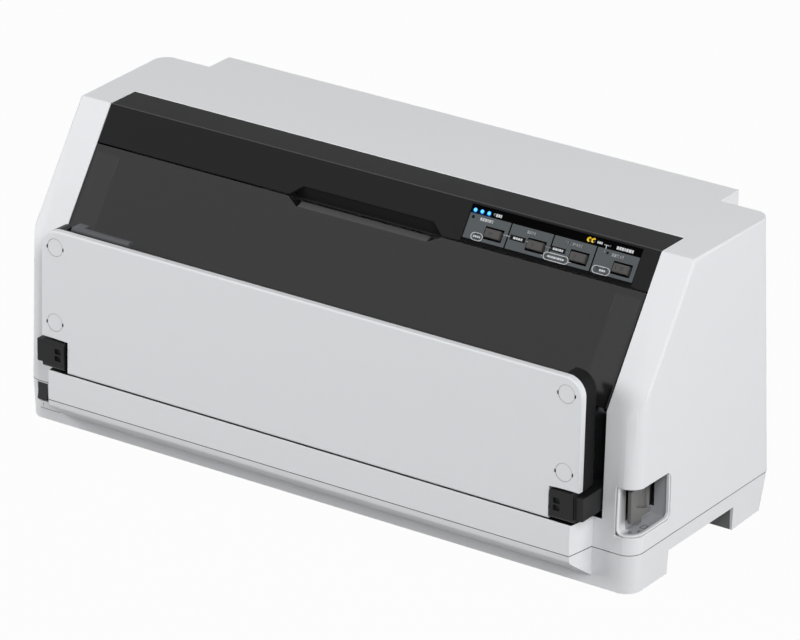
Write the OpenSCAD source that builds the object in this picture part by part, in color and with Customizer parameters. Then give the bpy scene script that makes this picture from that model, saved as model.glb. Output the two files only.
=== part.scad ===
// Wide-carriage dot matrix printer with a hinged front paper guide, smoked cover and rear tractors.
// Origin: centre of the footprint on the table. X to the right, Y to the back, Z up. Millimetres.

/* [Case] */
// Width of the case across the sides
case_w = 636; // [600:1:680]
// Depth from the hinge blocks to the rear hood
body_d = 265; // [255:1:290]
// Height from the table to the top deck
case_h = 277.5; // [268:0.5:300]
// Height of the seam between the lower and the upper case
seam_z = 37; // [34:0.5:40]
// Wall thickness of the case shells
wall = 3; // [2.4:0.1:3.4]
// Distance from the front of the hinge blocks back to the edge of the top deck
crease_back = 114; // [110:1:118]
// Depth of the sloping front, measured level
slope_run = 79.6; // [77:0.2:81]
// Drop of the sloping front
slope_fall = 116.4; // [112:0.2:118]
// Width of each front pillar
pillar_w = 33; // [31:0.5:36]
// Forward lean of the pillar faces over their height
pillar_lean = 4.4; // [2:0.2:6]
// Backward lean of the rear wall over its height
rear_lean = 17; // [12:0.5:18]
// Reach of the rear hood behind the top deck
hood_reach = 30; // [26:1:36]
// Distance from the case's side to the end of the hood
hood_step = 51; // [40:1:70]
// Radius of the upright corners of the case
corner_r = 15; // [12:0.5:17]
// Top of the front box that carries the hinge blocks
box_top_z = 65; // [64:0.5:68]
// Gap between the front plane of the hinge blocks and the face of the front box
box_setback = 2.2; // [1.6:0.1:3]

/* [Control strip] */
// Depth of the black strip on the top deck
strip_top_d = 35; // [30:1:40]
// Height of the black strip along the slope
strip_face_h = 36.2; // [35.5:0.1:38]
// Half of the finger scoop's length at its upper edge
scoop_half = 67.5; // [55:0.5:80]
// Gap between the control panel and the right pillar
panel_margin = 16.8; // [10:0.2:24]
// Width of one button cell of the control panel
cell_w = 42.6; // [41:0.1:43.5]
// Width of a button cap
button_w = 15.5; // [15:0.5:19]
// Height of a button cap along the slope
button_h = 8; // [7:0.5:10]
// Height of a button cap above the case's slope
button_proud = 2.3; // [0.8:0.1:3]
// Travel of a button
button_travel = 1; // [0.6:0.1:1.1]

/* [Front paper guide] */
// Gap between the guide's side and the pillar
guide_side_gap = 5.4; // [4.4:0.1:8]
// Height of the guide
guide_h = 131; // [128:0.5:140]
// Depth of the white outer skin of the guide
skin_d = 6.6; // [6:0.1:9]
// Depth of the black tray's side rims
rim_d = 13.5; // [10:0.5:14]
// Radius of the guide's upper corners
guide_corner_r = 17; // [12:0.5:20]
// Backward lean of the closed guide, in degrees
guide_lean = 1.5; // [0.5:0.1:1.8]
// Width of the fixed hinge block in the guide's lower corner
block_w = 23.6; // [20:0.2:24.6]
// Radius of the guide's hinge pins
guide_pin_r = 2; // [1.6:0.1:2.4]

/* [Paper path] */
// Height of the paper table's upper surface
paper_z = 85.5; // [84.5:0.5:86.5]
// Radius of the rubber feed sleeves
feed_r = 10; // [9:0.2:10]
// Radius of the feed and tractor drive shafts
shaft_r = 4; // [3.5:0.1:4.4]
// Radius of the pinch rollers
pinch_r = 6; // [5:0.2:6.4]
// Gap left between the carriage and its motor at the end of the line
carriage_margin = 6; // [4:0.5:20]
// Gap between each side frame and the outside of the case
frame_inset = 50; // [48:0.5:54]
// Radius of the carriage guide shaft
guide_shaft_r = 6; // [5:0.2:7]
// Module of the feed gears
gear_module = 1.5; // [1.45:0.01:1.52]

/* [Clearances] */
// Radial running clearance of pins and shafts
run_gap = 0.05; // [0.03:0.01:0.08]
// Gap between parts that pass each other
part_gap = 0.3; // [0.25:0.05:0.4]

/* [Hidden] */
$fn = 64;
front_y = -body_d/2;
hood_y = body_d/2;
half_w = case_w/2;
open_half = half_w - pillar_w;              // half of the opening between the pillars
guide_half = open_half - guide_side_gap;
hood_half = half_w - hood_step;
crease_y = front_y + crease_back;
kink_y = crease_y - slope_run;
kink_z = case_h - slope_fall;
slope_deg = atan2(slope_fall, slope_run);
slope_len = norm([slope_run, slope_fall]);
pillar_foot_y = kink_y - pillar_lean;
deck_y = hood_y - hood_reach;
rear_foot_y = deck_y + rear_lean;
rear_deg = atan2(rear_lean, case_h - seam_z);
base_z = 1;                                 // underside of the lower case above the table
floor_t = 2.5;
floor_z = base_z + floor_t;
side_draft = 1.9;                           // inward draft of the lower case's sides
rear_draft = 7.5;                           // inward draft of the lower case's rear
box_y = front_y + box_setback;
box_half = half_w - 46;                     // half length of the front box at its face
box_flare = 5;
box_under_z = 30.3;                         // where the under-chamfer of the front box starts
skirt_z = 10.4;                             // where it meets the skirt
skirt_y = pillar_foot_y + 0.6;
pillar_wall = 2.5;                          // inner wall that closes each pillar
eps = 0.01;

// hand holds in the lower case's sides
hold_y0 = pillar_foot_y + 56;
hold_len = 104;
hold_h = 23;
hold_d = 30;

// posts that join the two halves of the case
post_y = [pillar_foot_y + 42.5, rear_foot_y - 24.5];
case_post_inset = 12;
case_post_r = 5;
screw_head_r = 3.2;
screw_head = 2.2;
screw_neck = 2.2;
screw_slot = 0.8;

// strip
strip_back_y = crease_y + strip_top_d;
strip_w = open_half - part_gap;
strip_skin = 3;
scoop_flare = 11.5;
scoop_top = 26.5;
scoop_d = 12;
scoop_plate = 2;
panel_top = 2.4;
panel_foot = 32.9;
panel_w = 4*cell_w;
panel_x0 = open_half - panel_margin - panel_w;
panel_inset = 0.8;
panel_flange = 2.5;
panel_t = 2.2;
button_s = 23.7;
button_gap = 1.5;                           // clear space round a button in the panel
button_flange = 2.6;
flange_t = 1.5;
board_n = 14.4;
board_t = 1.6;
tact_h = 0.6;
lamp_r = 1.6;
lamp_pitch = 6.9;
lamp_x0 = panel_x0 + 4.4;
lamp_s = 7.1;
small_lamp_r = 1;

// printer cover
cover_gap = 1.2;
cover_top = strip_face_h + cover_gap;
cover_t = 3;
cover_half = open_half - 1;
cover_pivot_s = slope_len - 6;
cover_pivot_n = 6;
cover_foot = cover_pivot_s + 4;
cover_pin_r = 2.5;
ear_r = 6;
ear_t = 3.6;
lip_h = 7.4;
lip_d = 4.5;
lip_t = 2.6;

// front guide
hinge_setback = 6;                          // hinge axis behind the guide's face
hinge_rise = 10.5;                          // hinge axis above the guide's lower edge
guide_foot_z = box_top_z + 1.5;
hinge_y = box_y + hinge_setback;
hinge_z = guide_foot_z + hinge_rise;
skin_t = 2.4;
tray_t = 2.5;
rim_t = 3;
rim_corner = 21;                            // how far the tray's rims run in round the upper corners
notch_h = 29.7;
lug_r = guide_pin_r + 2.5;
lug_len = 11;
block_x0 = guide_half - 26.9;
notch_x = block_x0 - 2.2;
block_top = guide_foot_z + notch_h - 1.3;
block_z = box_top_z + 4;
block_d = 24.5;
block_round = 3;
arm_w = 8;
arm_z0 = block_z + 2.5;
arm_z1 = block_top - 2.2;
cap_r = 8;
cap_gap = 0.15;
cap_x = guide_half - 15.1;
cap_z = [45.3, 115.6];
rim_slots = [26.5, 93, 146];
edge_w = 62;
right_edge_w = 54;
edge_bar_h = 5;                             // height of the bar along an edge guide's top
edge_x = guide_half - 25.1;                 // outer edge of each edge guide
edge_t = 2.5;
edge_fence_d = 12.5;
edge_fence_w = 11;
edge_bar_d = 8;                             // depth of the rounded bar along the top
edge_bar_r = 2.4;
edge_top = guide_h + 3;
right_edge_top = guide_h - 16.5;
edge_foot = 58;

// inner frame
frame_x = half_w - frame_inset;             // inner face of the side frames
frame_t = 2;
platen_y = -44;
platen_w = 20;
platen_half = frame_x - 44;
platen_gap = 1.5;
feed_y = 3.5;
feed_z = paper_z + part_gap - feed_r;
pinch_z = paper_z + 2*part_gap + 0.1 + pinch_r;
table_t = 1.5;
table_y0 = -99;
table_y1 = 42;
table_lip_y = -101;
sleeve_x = [-180, -110, -40, 40, 110, 180];
sleeve_w = 26;
bush_r = shaft_r + 3;
bush_len = 4;
pinch_shaft_r = 2.5;
pinch_sleeve_w = 24;
pinch_arm_x = [-216, -75, 75, 216];         // hangers of the pinch rollers, clear of the sleeves
pinch_arm_t = 3;
carrier_z = pinch_z + pinch_r + 1.8;
carrier_t = 2;

// carriage and head
shaft_y = -20;
shaft_z = 132;
carriage_half = 38;
carriage_y0 = -32;
carriage_y1 = 42;
carriage_z0 = 116;
carriage_z1 = 146;
bushing_r = guide_shaft_r + 3;
bushing_len = 18;
rail_y = 44;
rail_t = 2;
rail_lip_z = 128;
rail_lip = 8;
head_half = 21;
head_y0 = -70;
head_z0 = 98;
head_z1 = 140;
nose_half = 9;
nose_w = 12;
ribbon_z = paper_z + 1.3;
ribbon_t = 0.5;
nose_z = ribbon_z + ribbon_t + 0.7;
ribbon_w = 13;
cartridge_x = frame_x - 6;
cartridge_z0 = 156;
cartridge_z1 = 176;
cartridge_y0 = -64;
cartridge_y1 = -4;
cartridge_arm = 24;
cartridge_wall = 2;

// carriage drive
belt_x = frame_x - 28;
belt_y = 22;
belt_z = 104;
belt_h = 6;
belt_t = 1.2;
belt_r = 8;
pulley_gap = 0.4;
pulley_flange = 1.1;
motor_r = 21;
carriage_travel = belt_x - motor_r - carriage_half - carriage_margin;
motor_h = 36;
motor_shaft_r = 2.5;
motor_plate_z = belt_z + belt_h + 2*pulley_gap + pulley_flange + 0.5;
motor_plate_t = 2.5;
idler_tab_z = 98;
idler_tab_t = 2.5;

// feed gears, in a plane outside the left side frame
feed_teeth = 32;
idler_teeth = 24;
tractor_teeth = 16;
pinion_teeth = 16;
gear_w = 7;
gear_x = -frame_x - frame_t - 4 - gear_w;
idler_y = feed_y + gear_module*(feed_teeth + idler_teeth)/2;
tractor_y = idler_y + gear_module*(idler_teeth + tractor_teeth)/2;
pinion_deg = 20.5*360/feed_teeth;
pinion_dist = gear_module*(feed_teeth + pinion_teeth)/2;
pinion_y = feed_y + pinion_dist*cos(pinion_deg);
pinion_z = feed_z + pinion_dist*sin(pinion_deg);
feed_motor_r = 20;
feed_motor_len = 38;

// tractors
support_y = 56;
support_r = 3;
tractor_w = 22;
tractor_x = 200;                            // outer face of each tractor
tractor_y0 = 48;
tractor_y1 = 92;
tractor_z0 = 66.5;
tractor_top = paper_z - 0.5;
tractor_pin_pitch = 12.7;
lid_z = paper_z + 2.5;
lid_t = 2.5;
lid_axis_x = tractor_x + 2.7;
lid_axis_z = lid_z + 1;
lid_pin_r = 1.5;

// rear cover, in the rear wall's own frame
rear_half = half_w - 68;
rear_open_z0 = 35.5;
rear_pivot_z = 174;
rear_pivot_d = 6;
rear_slot_h = 22;
rear_cover_t = 2.5;

// corner recess and release lever
recess_x = half_w - 20;
recess_z0 = 52.5;
recess_z1 = 96.5;
recess_y1 = pillar_foot_y + 56;
recess_r = 7;
bezel_t = 1.6;
lever_y = -74;
lever_z = 150;
lever_r = 8;
lever_stud_r = 4;
grip_x0 = recess_x + 1.6;
grip_t = 7.8;
grip_len = 31.5;
grip_y = -75.75;
grip_z0 = 57.4;
grip_z1 = 91;
grip_edge = 3.5;                            // thickness of the grip's outer face
grip_edge_d = 9.3;                          // depth of the outer face beside the hollow
grip_back = 8;                              // how far the core stands behind the front edge
rib_r = 3.2;
lever_arm_t = 4;
lever_arm_w = 10;
lever_travel = 8;

// power switch in the left pillar
switch_x = -(half_w - 18);
switch_w = 10.6;
switch_z = seam_z - 9.6;
switch_y = pillar_foot_y + 7.5;
switch_up = 8.4;
switch_down = 9.5;

// ---------- helpers ----------

// a block from its lowest to its highest corner
module span(lo, hi) translate(lo) cube(hi - lo);

// a side outline [y, z] drawn out along X
module prism_x(points, x0, x1)
    translate([x0, 0, 0]) rotate([90, 0, 90]) linear_extrude(height = x1 - x0) polygon(points);

// a plan outline [x, y] drawn up along Z
module prism_z(points, z0, z1)
    translate([0, 0, z0]) linear_extrude(height = z1 - z0) polygon(points);

// round bars along each axis
module rod_x(r, x0, x1, y, z) translate([x0, y, z]) rotate([0, 90, 0]) cylinder(r = r, h = x1 - x0);
module rod_y(r, y0, y1, x, z) translate([x, y0, z]) rotate([-90, 0, 0]) cylinder(r = r, h = y1 - y0);
module rod_z(r, z0, z1, x, y) translate([x, y, z0]) cylinder(r = r, h = z1 - z0);

module both_sides() {
    children();
    mirror([1, 0, 0]) children();
}

// the slope's own frame: x across, y up the slope, z outwards, origin at the deck's edge
module on_slope() translate([0, crease_y, case_h]) rotate([slope_deg, 0, 0]) children();

// the rear wall's own frame: y outwards, z up the wall, origin at the seam
module on_rear() translate([0, rear_foot_y, seam_z]) rotate([rear_deg, 0, 0]) children();

// the guide's own frame: y back from its face, z up from its lower edge
module on_guide()
    translate([0, hinge_y, hinge_z]) rotate([-guide_lean, 0, 0])
        translate([0, -hinge_setback, -hinge_rise]) children();

// what is cut away to round an upright edge of the case that runs from foot to top;
// the round meets the walls at a slight angle, because they lean different ways
edge_ease = 0.994;
module edge_round(foot, top, sx, sy, r) {
    d = top - foot;
    len = norm(d);
    translate(foot) rotate([-asin(d.y/len), atan2(d.x, d.z), 0]) translate([0, 0, -1])
        linear_extrude(height = len + 2) difference() {
            polygon([[-sx*r, -sy*r], [sx*2, -sy*r], [sx*2, sy*2], [-sx*r, sy*2]]);
            translate([-sx*r*edge_ease, -sy*r*edge_ease]) circle(r = r);
        }
}

function line_y(foot, top, z) = foot.x + (top.x - foot.x)*(z - foot.y)/(top.y - foot.y);
function rear_wall_y(z) = line_y([rear_foot_y, seam_z], [deck_y, case_h], z);

// ---------- case ----------

case_profile = [[pillar_foot_y, seam_z], [kink_y, kink_z], [crease_y, case_h],
    [deck_y, case_h], [rear_foot_y, seam_z]];
case_inner = [[pillar_foot_y + wall, seam_z - 1],
    [kink_y + wall, kink_z - wall*(1 - sin(slope_deg))/cos(slope_deg)],
    [crease_y + wall*tan(slope_deg/2), case_h - wall],
    [deck_y - wall, case_h - wall], [rear_foot_y - wall, seam_z - 1]];

// upright corners, t inside the outer skin
module case_edges(t) {
    rise = kink_z - seam_z;
    reach = 1 + (corner_r*slope_fall/slope_run + 2)/rise;
    w = half_w - t;
    for (s = [-1, 1]) {
        edge_round([s*w, pillar_foot_y + t, seam_z],
            [s*w, pillar_foot_y + pillar_lean*reach + t, seam_z + rise*reach], s, -1, corner_r - t);
        edge_round([s*w, rear_foot_y - t, seam_z], [s*w, deck_y - t, case_h], s, 1, corner_r - 1 - t);
    }
}

hood_lip = 18;
hood_drop = 48;

module hood(t) {
    z = case_h - hood_drop;
    prism_x([[deck_y - 8, case_h - t], [hood_y - t, case_h - t], [hood_y - t, case_h - hood_lip],
        [rear_wall_y(z) - t, z], [deck_y - 8, z]], -hood_half + t, hood_half - t);
}

module box_plan(t, y1) {
    polygon([[-box_half + t, box_y + t], [box_half - t, box_y + t],
        [box_half + box_flare - t, y1], [-box_half - box_flare + t, y1]]);
}

module recess_cut(t) {
    w = recess_y1 - pillar_foot_y + 10;
    h = recess_z1 - recess_z0;
    r = recess_r;
    translate([recess_x - t, recess_y1 - w, recess_z0 - t]) rotate([90, 0, 90])
        linear_extrude(height = half_w - recess_x + 4) {
            square([w - r, h + 2*t]);
            translate([0, r]) square([w + t, h + 2*t - 2*r]);
            translate([w + t - r, r]) circle(r = r);
            translate([w + t - r, h + 2*t - r]) circle(r = r);
        }
}

module upper_case() color([0.87, 0.88, 0.90]) difference() {
    union() {
        difference() {
            union() {
                prism_x(case_profile, -half_w, half_w);
                hood(0);
            }
            case_edges(0);
            difference() {
                prism_x(case_inner, -half_w + wall, half_w - wall);
                case_edges(wall);
            }
            hood(wall);
            span([-open_half, front_y - 1, box_top_z], [open_half, strip_back_y, case_h + 1]);
            translate([0, 0, seam_z - 1]) linear_extrude(height = box_top_z - seam_z + 2)
                box_plan(wall, pillar_foot_y + wall + 1);
        }
        // walls that close the pillars towards the opening
        both_sides() difference() {
            prism_x([[pillar_foot_y + 1, seam_z], [kink_y + 1, kink_z], [crease_y, case_h - 1],
                [strip_back_y, case_h - 1], [strip_back_y, seam_z]], open_half, open_half + pillar_wall);
            span([open_half - 1, table_y0, seam_z - 1], [half_w, strip_back_y + 1, box_top_z + 40]);
        }
        // front box
        difference() {
            translate([0, 0, seam_z]) linear_extrude(height = box_top_z - seam_z)
                box_plan(0, pillar_foot_y + wall);
            translate([0, 0, seam_z - 1]) linear_extrude(height = box_top_z - seam_z + 1 - wall)
                box_plan(wall, pillar_foot_y + wall + 1);
        }
        // blocks that carry the rear cover's hinge pins
        on_rear() both_sides()
            span([rear_half, -2*rear_pivot_d, rear_pivot_z - 8],
                [rear_half + 8, -wall + 1, rear_pivot_z + 8]);
    }
    recess_cut(0);
    on_rear() {
        span([-rear_half, -wall - 1, rear_open_z0],
            [rear_half, 1, rear_pivot_z + rear_pivot_d + part_gap]);
        rod_x(cover_pin_r + run_gap, -rear_half - 9, rear_half + 9, -rear_pivot_d, rear_pivot_z);
    }
    on_slope() rod_x(cover_pin_r + run_gap, -open_half - pillar_wall - 1, open_half + pillar_wall + 1,
        -cover_pivot_s, -cover_pivot_n);
    rod_x(lever_stud_r + 1, open_half - 1, open_half + pillar_wall + 1, lever_y, lever_z);
}

module lower_outer(t) {
    foot = base_z + (t > 0 ? floor_t : 0);
    intersection() {
        prism_x([[skirt_y + t, foot], [pillar_foot_y + t, seam_z], [pillar_foot_y + t, seam_z + t],
            [rear_foot_y - t, seam_z + t], [rear_foot_y - t, seam_z],
            [rear_foot_y - t - rear_draft, foot]], -half_w, half_w);
        rotate([90, 0, 0]) linear_extrude(height = 2*body_d, center = true)
            polygon([[-half_w + side_draft + t, base_z], [half_w - side_draft - t, base_z],
                [half_w - t, seam_z], [half_w - t, seam_z + 9],
                [-half_w + t, seam_z + 9], [-half_w + t, seam_z]]);
    }
}

module box_under(t) {
    intersection() {
        prism_x([[box_y + t, seam_z + t], [box_y + 0.8 + t, box_under_z + t*0.6],
            [skirt_y + t*0.4, skirt_z + t], [skirt_y + wall + t, skirt_z + t],
            [skirt_y + wall + t, seam_z + t]], -half_w, half_w);
        translate([0, 0, base_z]) linear_extrude(height = seam_z + 9) box_plan(t, skirt_y + wall + t);
    }
}

module lower_edges(t) {
    w = half_w - t;
    for (s = [-1, 1]) {
        edge_round([s*(w - side_draft), skirt_y + t, base_z], [s*w, pillar_foot_y + t, seam_z],
            s, -1, corner_r - t);
        edge_round([s*(w - side_draft), rear_foot_y - rear_draft - t, base_z],
            [s*w, rear_foot_y - t, seam_z], s, 1, corner_r - 1 - t);
    }
}

inlet_x = -frame_x + 32;
inlet_w = 30;
inlet_h = 24;
socket_z = floor_z + 7;
// centre, width and height of each socket
socket_list = [[frame_x - 148, 13, 12], [frame_x - 96, 62, 14], [frame_x - 40, 34, 12]];

module lower_case() color([0.85, 0.86, 0.88]) difference() {
    union() {
        difference() {
            union() {
                lower_outer(0);
                box_under(0);
            }
            lower_edges(0);
            difference() {
                lower_outer(wall);
                lower_edges(wall);
            }
            box_under(wall);
        }
        // pockets behind the hand holds
        both_sides() span([half_w - hold_d - wall, hold_y0 - wall, base_z],
            [half_w - wall, hold_y0 + hold_len + wall, hold_h + wall]);
        // carrier of the power switch
        for (s = [-1, 1]) span([switch_x + s*(switch_w/2 + 1.4) - 1.2, pillar_foot_y + wall - 0.5, floor_z - 1],
            [switch_x + s*(switch_w/2 + 1.4) + 1.2, switch_y + 5, seam_z - 1]);
        // screw posts
        both_sides() for (y = post_y) rod_z(case_post_r, floor_z - 1, seam_z, half_w - case_post_inset, y);
    }
    both_sides() span([half_w - hold_d, hold_y0, -1], [half_w + 2, hold_y0 + hold_len, hold_h]);
    span([switch_x - switch_w/2 - part_gap, pillar_foot_y - 2, switch_z - switch_down],
        [switch_x + switch_w/2 + part_gap, pillar_foot_y + wall + 2, switch_z + switch_up]);
    rod_x(1.5 + run_gap, switch_x - switch_w/2 - 3, switch_x + switch_w/2 + 3, switch_y, switch_z);
    span([inlet_x - inlet_w/2 - part_gap, rear_foot_y - 20, socket_z - part_gap],
        [inlet_x + inlet_w/2 + part_gap, rear_foot_y + 2, socket_z + inlet_h + part_gap]);
    for (s = socket_list)
        span([s.x - s.y/2 - part_gap, rear_foot_y - 20, socket_z - part_gap],
            [s.x + s.y/2 + part_gap, rear_foot_y + 2, socket_z + s.z + part_gap]);
    // cooling slots in the floor
    for (i = [-6:6]) span([i*16 - 4, -30, -1], [i*16 + 4, 30, floor_z + 1]);
}

foot_x = half_w - 26;
foot_y = [pillar_foot_y + 24, rear_foot_y - 40];
foot_r = 9;
module feet() color([0.12, 0.12, 0.13])
    both_sides() for (y = foot_y) rod_z(foot_r, 0, base_z, foot_x, y);

module case_screws() color([0.6, 0.6, 0.62])
    both_sides() for (y = post_y) translate([half_w - case_post_inset, y, seam_z]) difference() {
        union() {
            translate([0, 0, screw_neck]) cylinder(r = screw_head_r, h = screw_head);
            cylinder(r = screw_head_r/2, h = screw_neck + eps);
        }
        span([-screw_head_r - 1, -screw_slot/2, screw_neck + screw_head/2],
            [screw_head_r + 1, screw_slot/2, screw_neck + screw_head + 1]);
    }

// ---------- control strip ----------

module scoop_shape(s0, s1) {
    // the scoop's outline on the slope, from s0 down to s1
    polygon([[-scoop_half, -scoop_top], [scoop_half, -scoop_top],
        [scoop_half + scoop_flare, -strip_face_h], [scoop_half + scoop_flare, -s1],
        [-scoop_half - scoop_flare, -s1], [-scoop_half - scoop_flare, -strip_face_h]]);
}

module control_housing() color([0.13, 0.13, 0.14]) {
    k = strip_skin;
    difference() {
        union() {
            prism_x([[strip_back_y - part_gap, case_h], [crease_y, case_h],
                [crease_y - strip_face_h*cos(slope_deg), case_h - strip_face_h*sin(slope_deg)],
                [crease_y - strip_face_h*cos(slope_deg) + k*sin(slope_deg),
                    case_h - strip_face_h*sin(slope_deg) - k*cos(slope_deg)],
                [crease_y + k*tan(slope_deg/2), case_h - k], [strip_back_y - part_gap, case_h - k]],
                -strip_w, strip_w);
            // flange under the deck's skin
            span([-strip_w, strip_back_y - 6, case_h - wall - part_gap - 2.5],
                [strip_w, strip_back_y + 8, case_h - wall - part_gap]);
            span([-strip_w, strip_back_y - 6, case_h - wall - part_gap - 1],
                [strip_w, strip_back_y - part_gap, case_h - 1]);
            // lower flange
            on_slope() span([-strip_w, -strip_face_h, -8], [strip_w, -strip_face_h + 2.3, -1]);
        }
        on_slope() {
            translate([0, 0, -9]) linear_extrude(height = 12) scoop_shape(scoop_top, strip_face_h + 1);
            span([panel_x0, -panel_foot, -strip_skin - 1], [panel_x0 + panel_w, -panel_top, 1]);
        }
    }
    // bowl of the finger scoop
    on_slope() {
        e = scoop_half + scoop_flare;
        prism_x([[-scoop_top + 3, -1.5], [-scoop_top, -1.5], [-strip_face_h + 1.5, -scoop_d],
            [-strip_face_h, -scoop_d], [-strip_face_h, -scoop_d - scoop_plate],
            [-strip_face_h + 2, -scoop_d - scoop_plate], [-scoop_top + 3, -3]], -e, e);
        both_sides() prism_x([[-scoop_top + 3, -1.5], [-strip_face_h, -1.5],
            [-strip_face_h, -scoop_d - scoop_plate], [-strip_face_h + 2, -scoop_d - scoop_plate],
            [-scoop_top + 3, -3]], e, e + scoop_plate);
    }
}

function button_x(i) = panel_x0 + (i + 0.5)*cell_w + 7.6;
pad_gap = 1.2;
pad_top = 10.2;
pad_h = 0.3;

module control_panel() color([0.33, 0.35, 0.36]) on_slope() {
    g = part_gap;
    difference() {
        union() {
            span([panel_x0 + g, -panel_foot + g, -strip_skin - g],
                [panel_x0 + panel_w - g, -panel_top - g, -panel_inset]);
            span([panel_x0 - panel_flange, -panel_foot - 0.5, -strip_skin - g - 2],
                [panel_x0 + panel_w + panel_flange, -panel_top - 1, -strip_skin - g]);
            for (i = [0:3]) span([panel_x0 + i*cell_w + pad_gap, -panel_foot + 2*g, -panel_inset - 0.1],
                [panel_x0 + (i + 1)*cell_w - pad_gap/2, -pad_top, -panel_inset + pad_h]);
            for (x = [panel_x0, button_x(1.5), panel_x0 + panel_w], s = [6, 31])
                translate([x, -s, -board_n]) cylinder(r = 2.2, h = board_n - strip_skin - 1);
        }
        for (i = [0:3]) translate([button_x(i), -button_s, 0])
            span([-button_w/2 - button_gap, -button_h/2 - button_gap, -strip_skin - 4],
                [button_w/2 + button_gap, button_h/2 + button_gap, 1]);
        for (p = lamp_places()) translate([p.x, -p.y, -strip_skin - 4]) cylinder(r = p.z + 0.15, h = 9);
    }
}

// place along x, place down the slope and radius of each lamp
function lamp_places() = concat([for (i = [0:2]) [lamp_x0 + i*lamp_pitch, lamp_s, lamp_r]],
    [[panel_x0 + 119.3, lamp_s, small_lamp_r], [panel_x0 + 123.3, lamp_s, small_lamp_r],
     [panel_x0 + 139.2, lamp_s, small_lamp_r], [panel_x0 + 4.2, 13.4, small_lamp_r],
     [panel_x0 + 138.4, 13.4, small_lamp_r]]);

module panel_lamps() color([0.2, 0.55, 1]) on_slope()
    for (p = lamp_places()) translate([p.x, -p.y, -board_n]) cylinder(r = p.z, h = board_n - 0.5);

module control_board() color([0.1, 0.35, 0.2]) on_slope() {
    span([panel_x0 - 2.5, -panel_foot + 0.5, -board_n - board_t],
        [panel_x0 + panel_w + 2.5, -panel_top - 1.5, -board_n]);
    for (i = [0:3]) translate([button_x(i), -button_s, -board_n - 0.1])
        span([-3, -3, 0], [3, 3, tact_h + 0.1]);
}

module button(i) color([0.22, 0.23, 0.24]) on_slope() translate([button_x(i), -button_s, 0]) {
    w = button_w/2;
    h = button_h/2;
    top = button_proud;
    c = 0.8;
    under = strip_skin + part_gap + 2 + part_gap;
    span([-w, -h, -under - flange_t], [w, h, top - c]);
    // raised, chamfered crown
    hull() {
        span([-w, -h, top - c - 0.1], [w, h, top - c]);
        span([-w + c, -h + c, top - 0.1], [w - c, h - c, top]);
    }
    span([-w - button_flange, -h - button_flange, -under - flange_t],
        [w + button_flange, h + button_flange, -under]);
    translate([0, 0, -board_n + tact_h + button_travel + part_gap])
        cylinder(r = 2, h = board_n - tact_h - button_travel - part_gap - under);
}
module tear_off_button() button(0);
module line_feed_button() button(1);
module load_button() button(2);
module pause_button() button(3);

// ---------- printer cover ----------

module printer_cover() color([0.16, 0.16, 0.17, 0.85]) on_slope() {
    e = scoop_half + scoop_flare;
    difference() {
        span([-cover_half, -cover_foot, -cover_t], [cover_half, -cover_top, 0]);
        translate([0, 0, -cover_t - 1]) linear_extrude(height = cover_t + 2)
            polygon([[-e, -cover_top + 1], [e, -cover_top + 1], [e, -cover_top],
                [scoop_half, -cover_top - lip_h], [-scoop_half, -cover_top - lip_h], [-e, -cover_top]]);
    }
    // grip lip that slants in behind the scoop
    prism_x([[-cover_top - lip_h - 1.2, 0], [-cover_top - lip_h, 0], [-cover_top - 1, -lip_d],
        [-cover_top - 1, -lip_d - lip_t], [-cover_top - lip_h - 1.2, -cover_t]],
        -scoop_half + 0.5, scoop_half - 0.5);
    both_sides() {
        difference() {
            union() {
                rod_x(ear_r, cover_half - ear_t, cover_half, -cover_pivot_s, -cover_pivot_n);
                span([cover_half - ear_t, -cover_pivot_s, -cover_pivot_n - ear_r],
                    [cover_half, -cover_pivot_s + ear_r, -cover_t + 1]);
            }
        }
        rod_x(cover_pin_r, cover_half - 1, open_half + pillar_wall, -cover_pivot_s, -cover_pivot_n);
        // stiffening rib along each end
        span([cover_half - 8, -cover_foot + 12, -cover_t - 3], [cover_half - 6, -cover_top - 4, -cover_t + 0.1]);
    }
}

inner_y = kink_y + 3.5;
module inner_front_cover() color([0.09, 0.09, 0.1]) {
    top = kink_z - 8;
    foot = paper_z + 16;
    prism_x([[inner_y, top], [inner_y + 2, top], [inner_y + 2, foot + 8], [inner_y + 8, foot],
        [inner_y + 5.5, foot], [inner_y, foot + 7]], -frame_x, frame_x);
    for (i = [-2.5:2.5]) span([i*80 - 1, inner_y + 1, foot + 10], [i*80 + 1, inner_y + 9, top - 1]);
}

// ---------- front guide ----------

// outline of the guide with its notched lower corners, drawn [x, z]
module guide_outline(t) {
    r = guide_corner_r - t;
    w = guide_half - t;
    n = notch_x - t;
    difference() {
        union() {
            translate([-n, t]) square([2*n, guide_h - 2*t]);
            translate([-w, notch_h + t]) square([2*w, guide_h - notch_h - 2*t - r]);
            translate([-w + r, notch_h + t]) square([2*(w - r), guide_h - notch_h - 2*t]);
            for (s = [-1, 1]) translate([s*(w - r), guide_h - t - r]) circle(r = r);
        }
    }
}

module guide_slab(t, y0, y1)
    translate([0, y1, 0]) rotate([90, 0, 0]) linear_extrude(height = y1 - y0) guide_outline(t);

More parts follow.
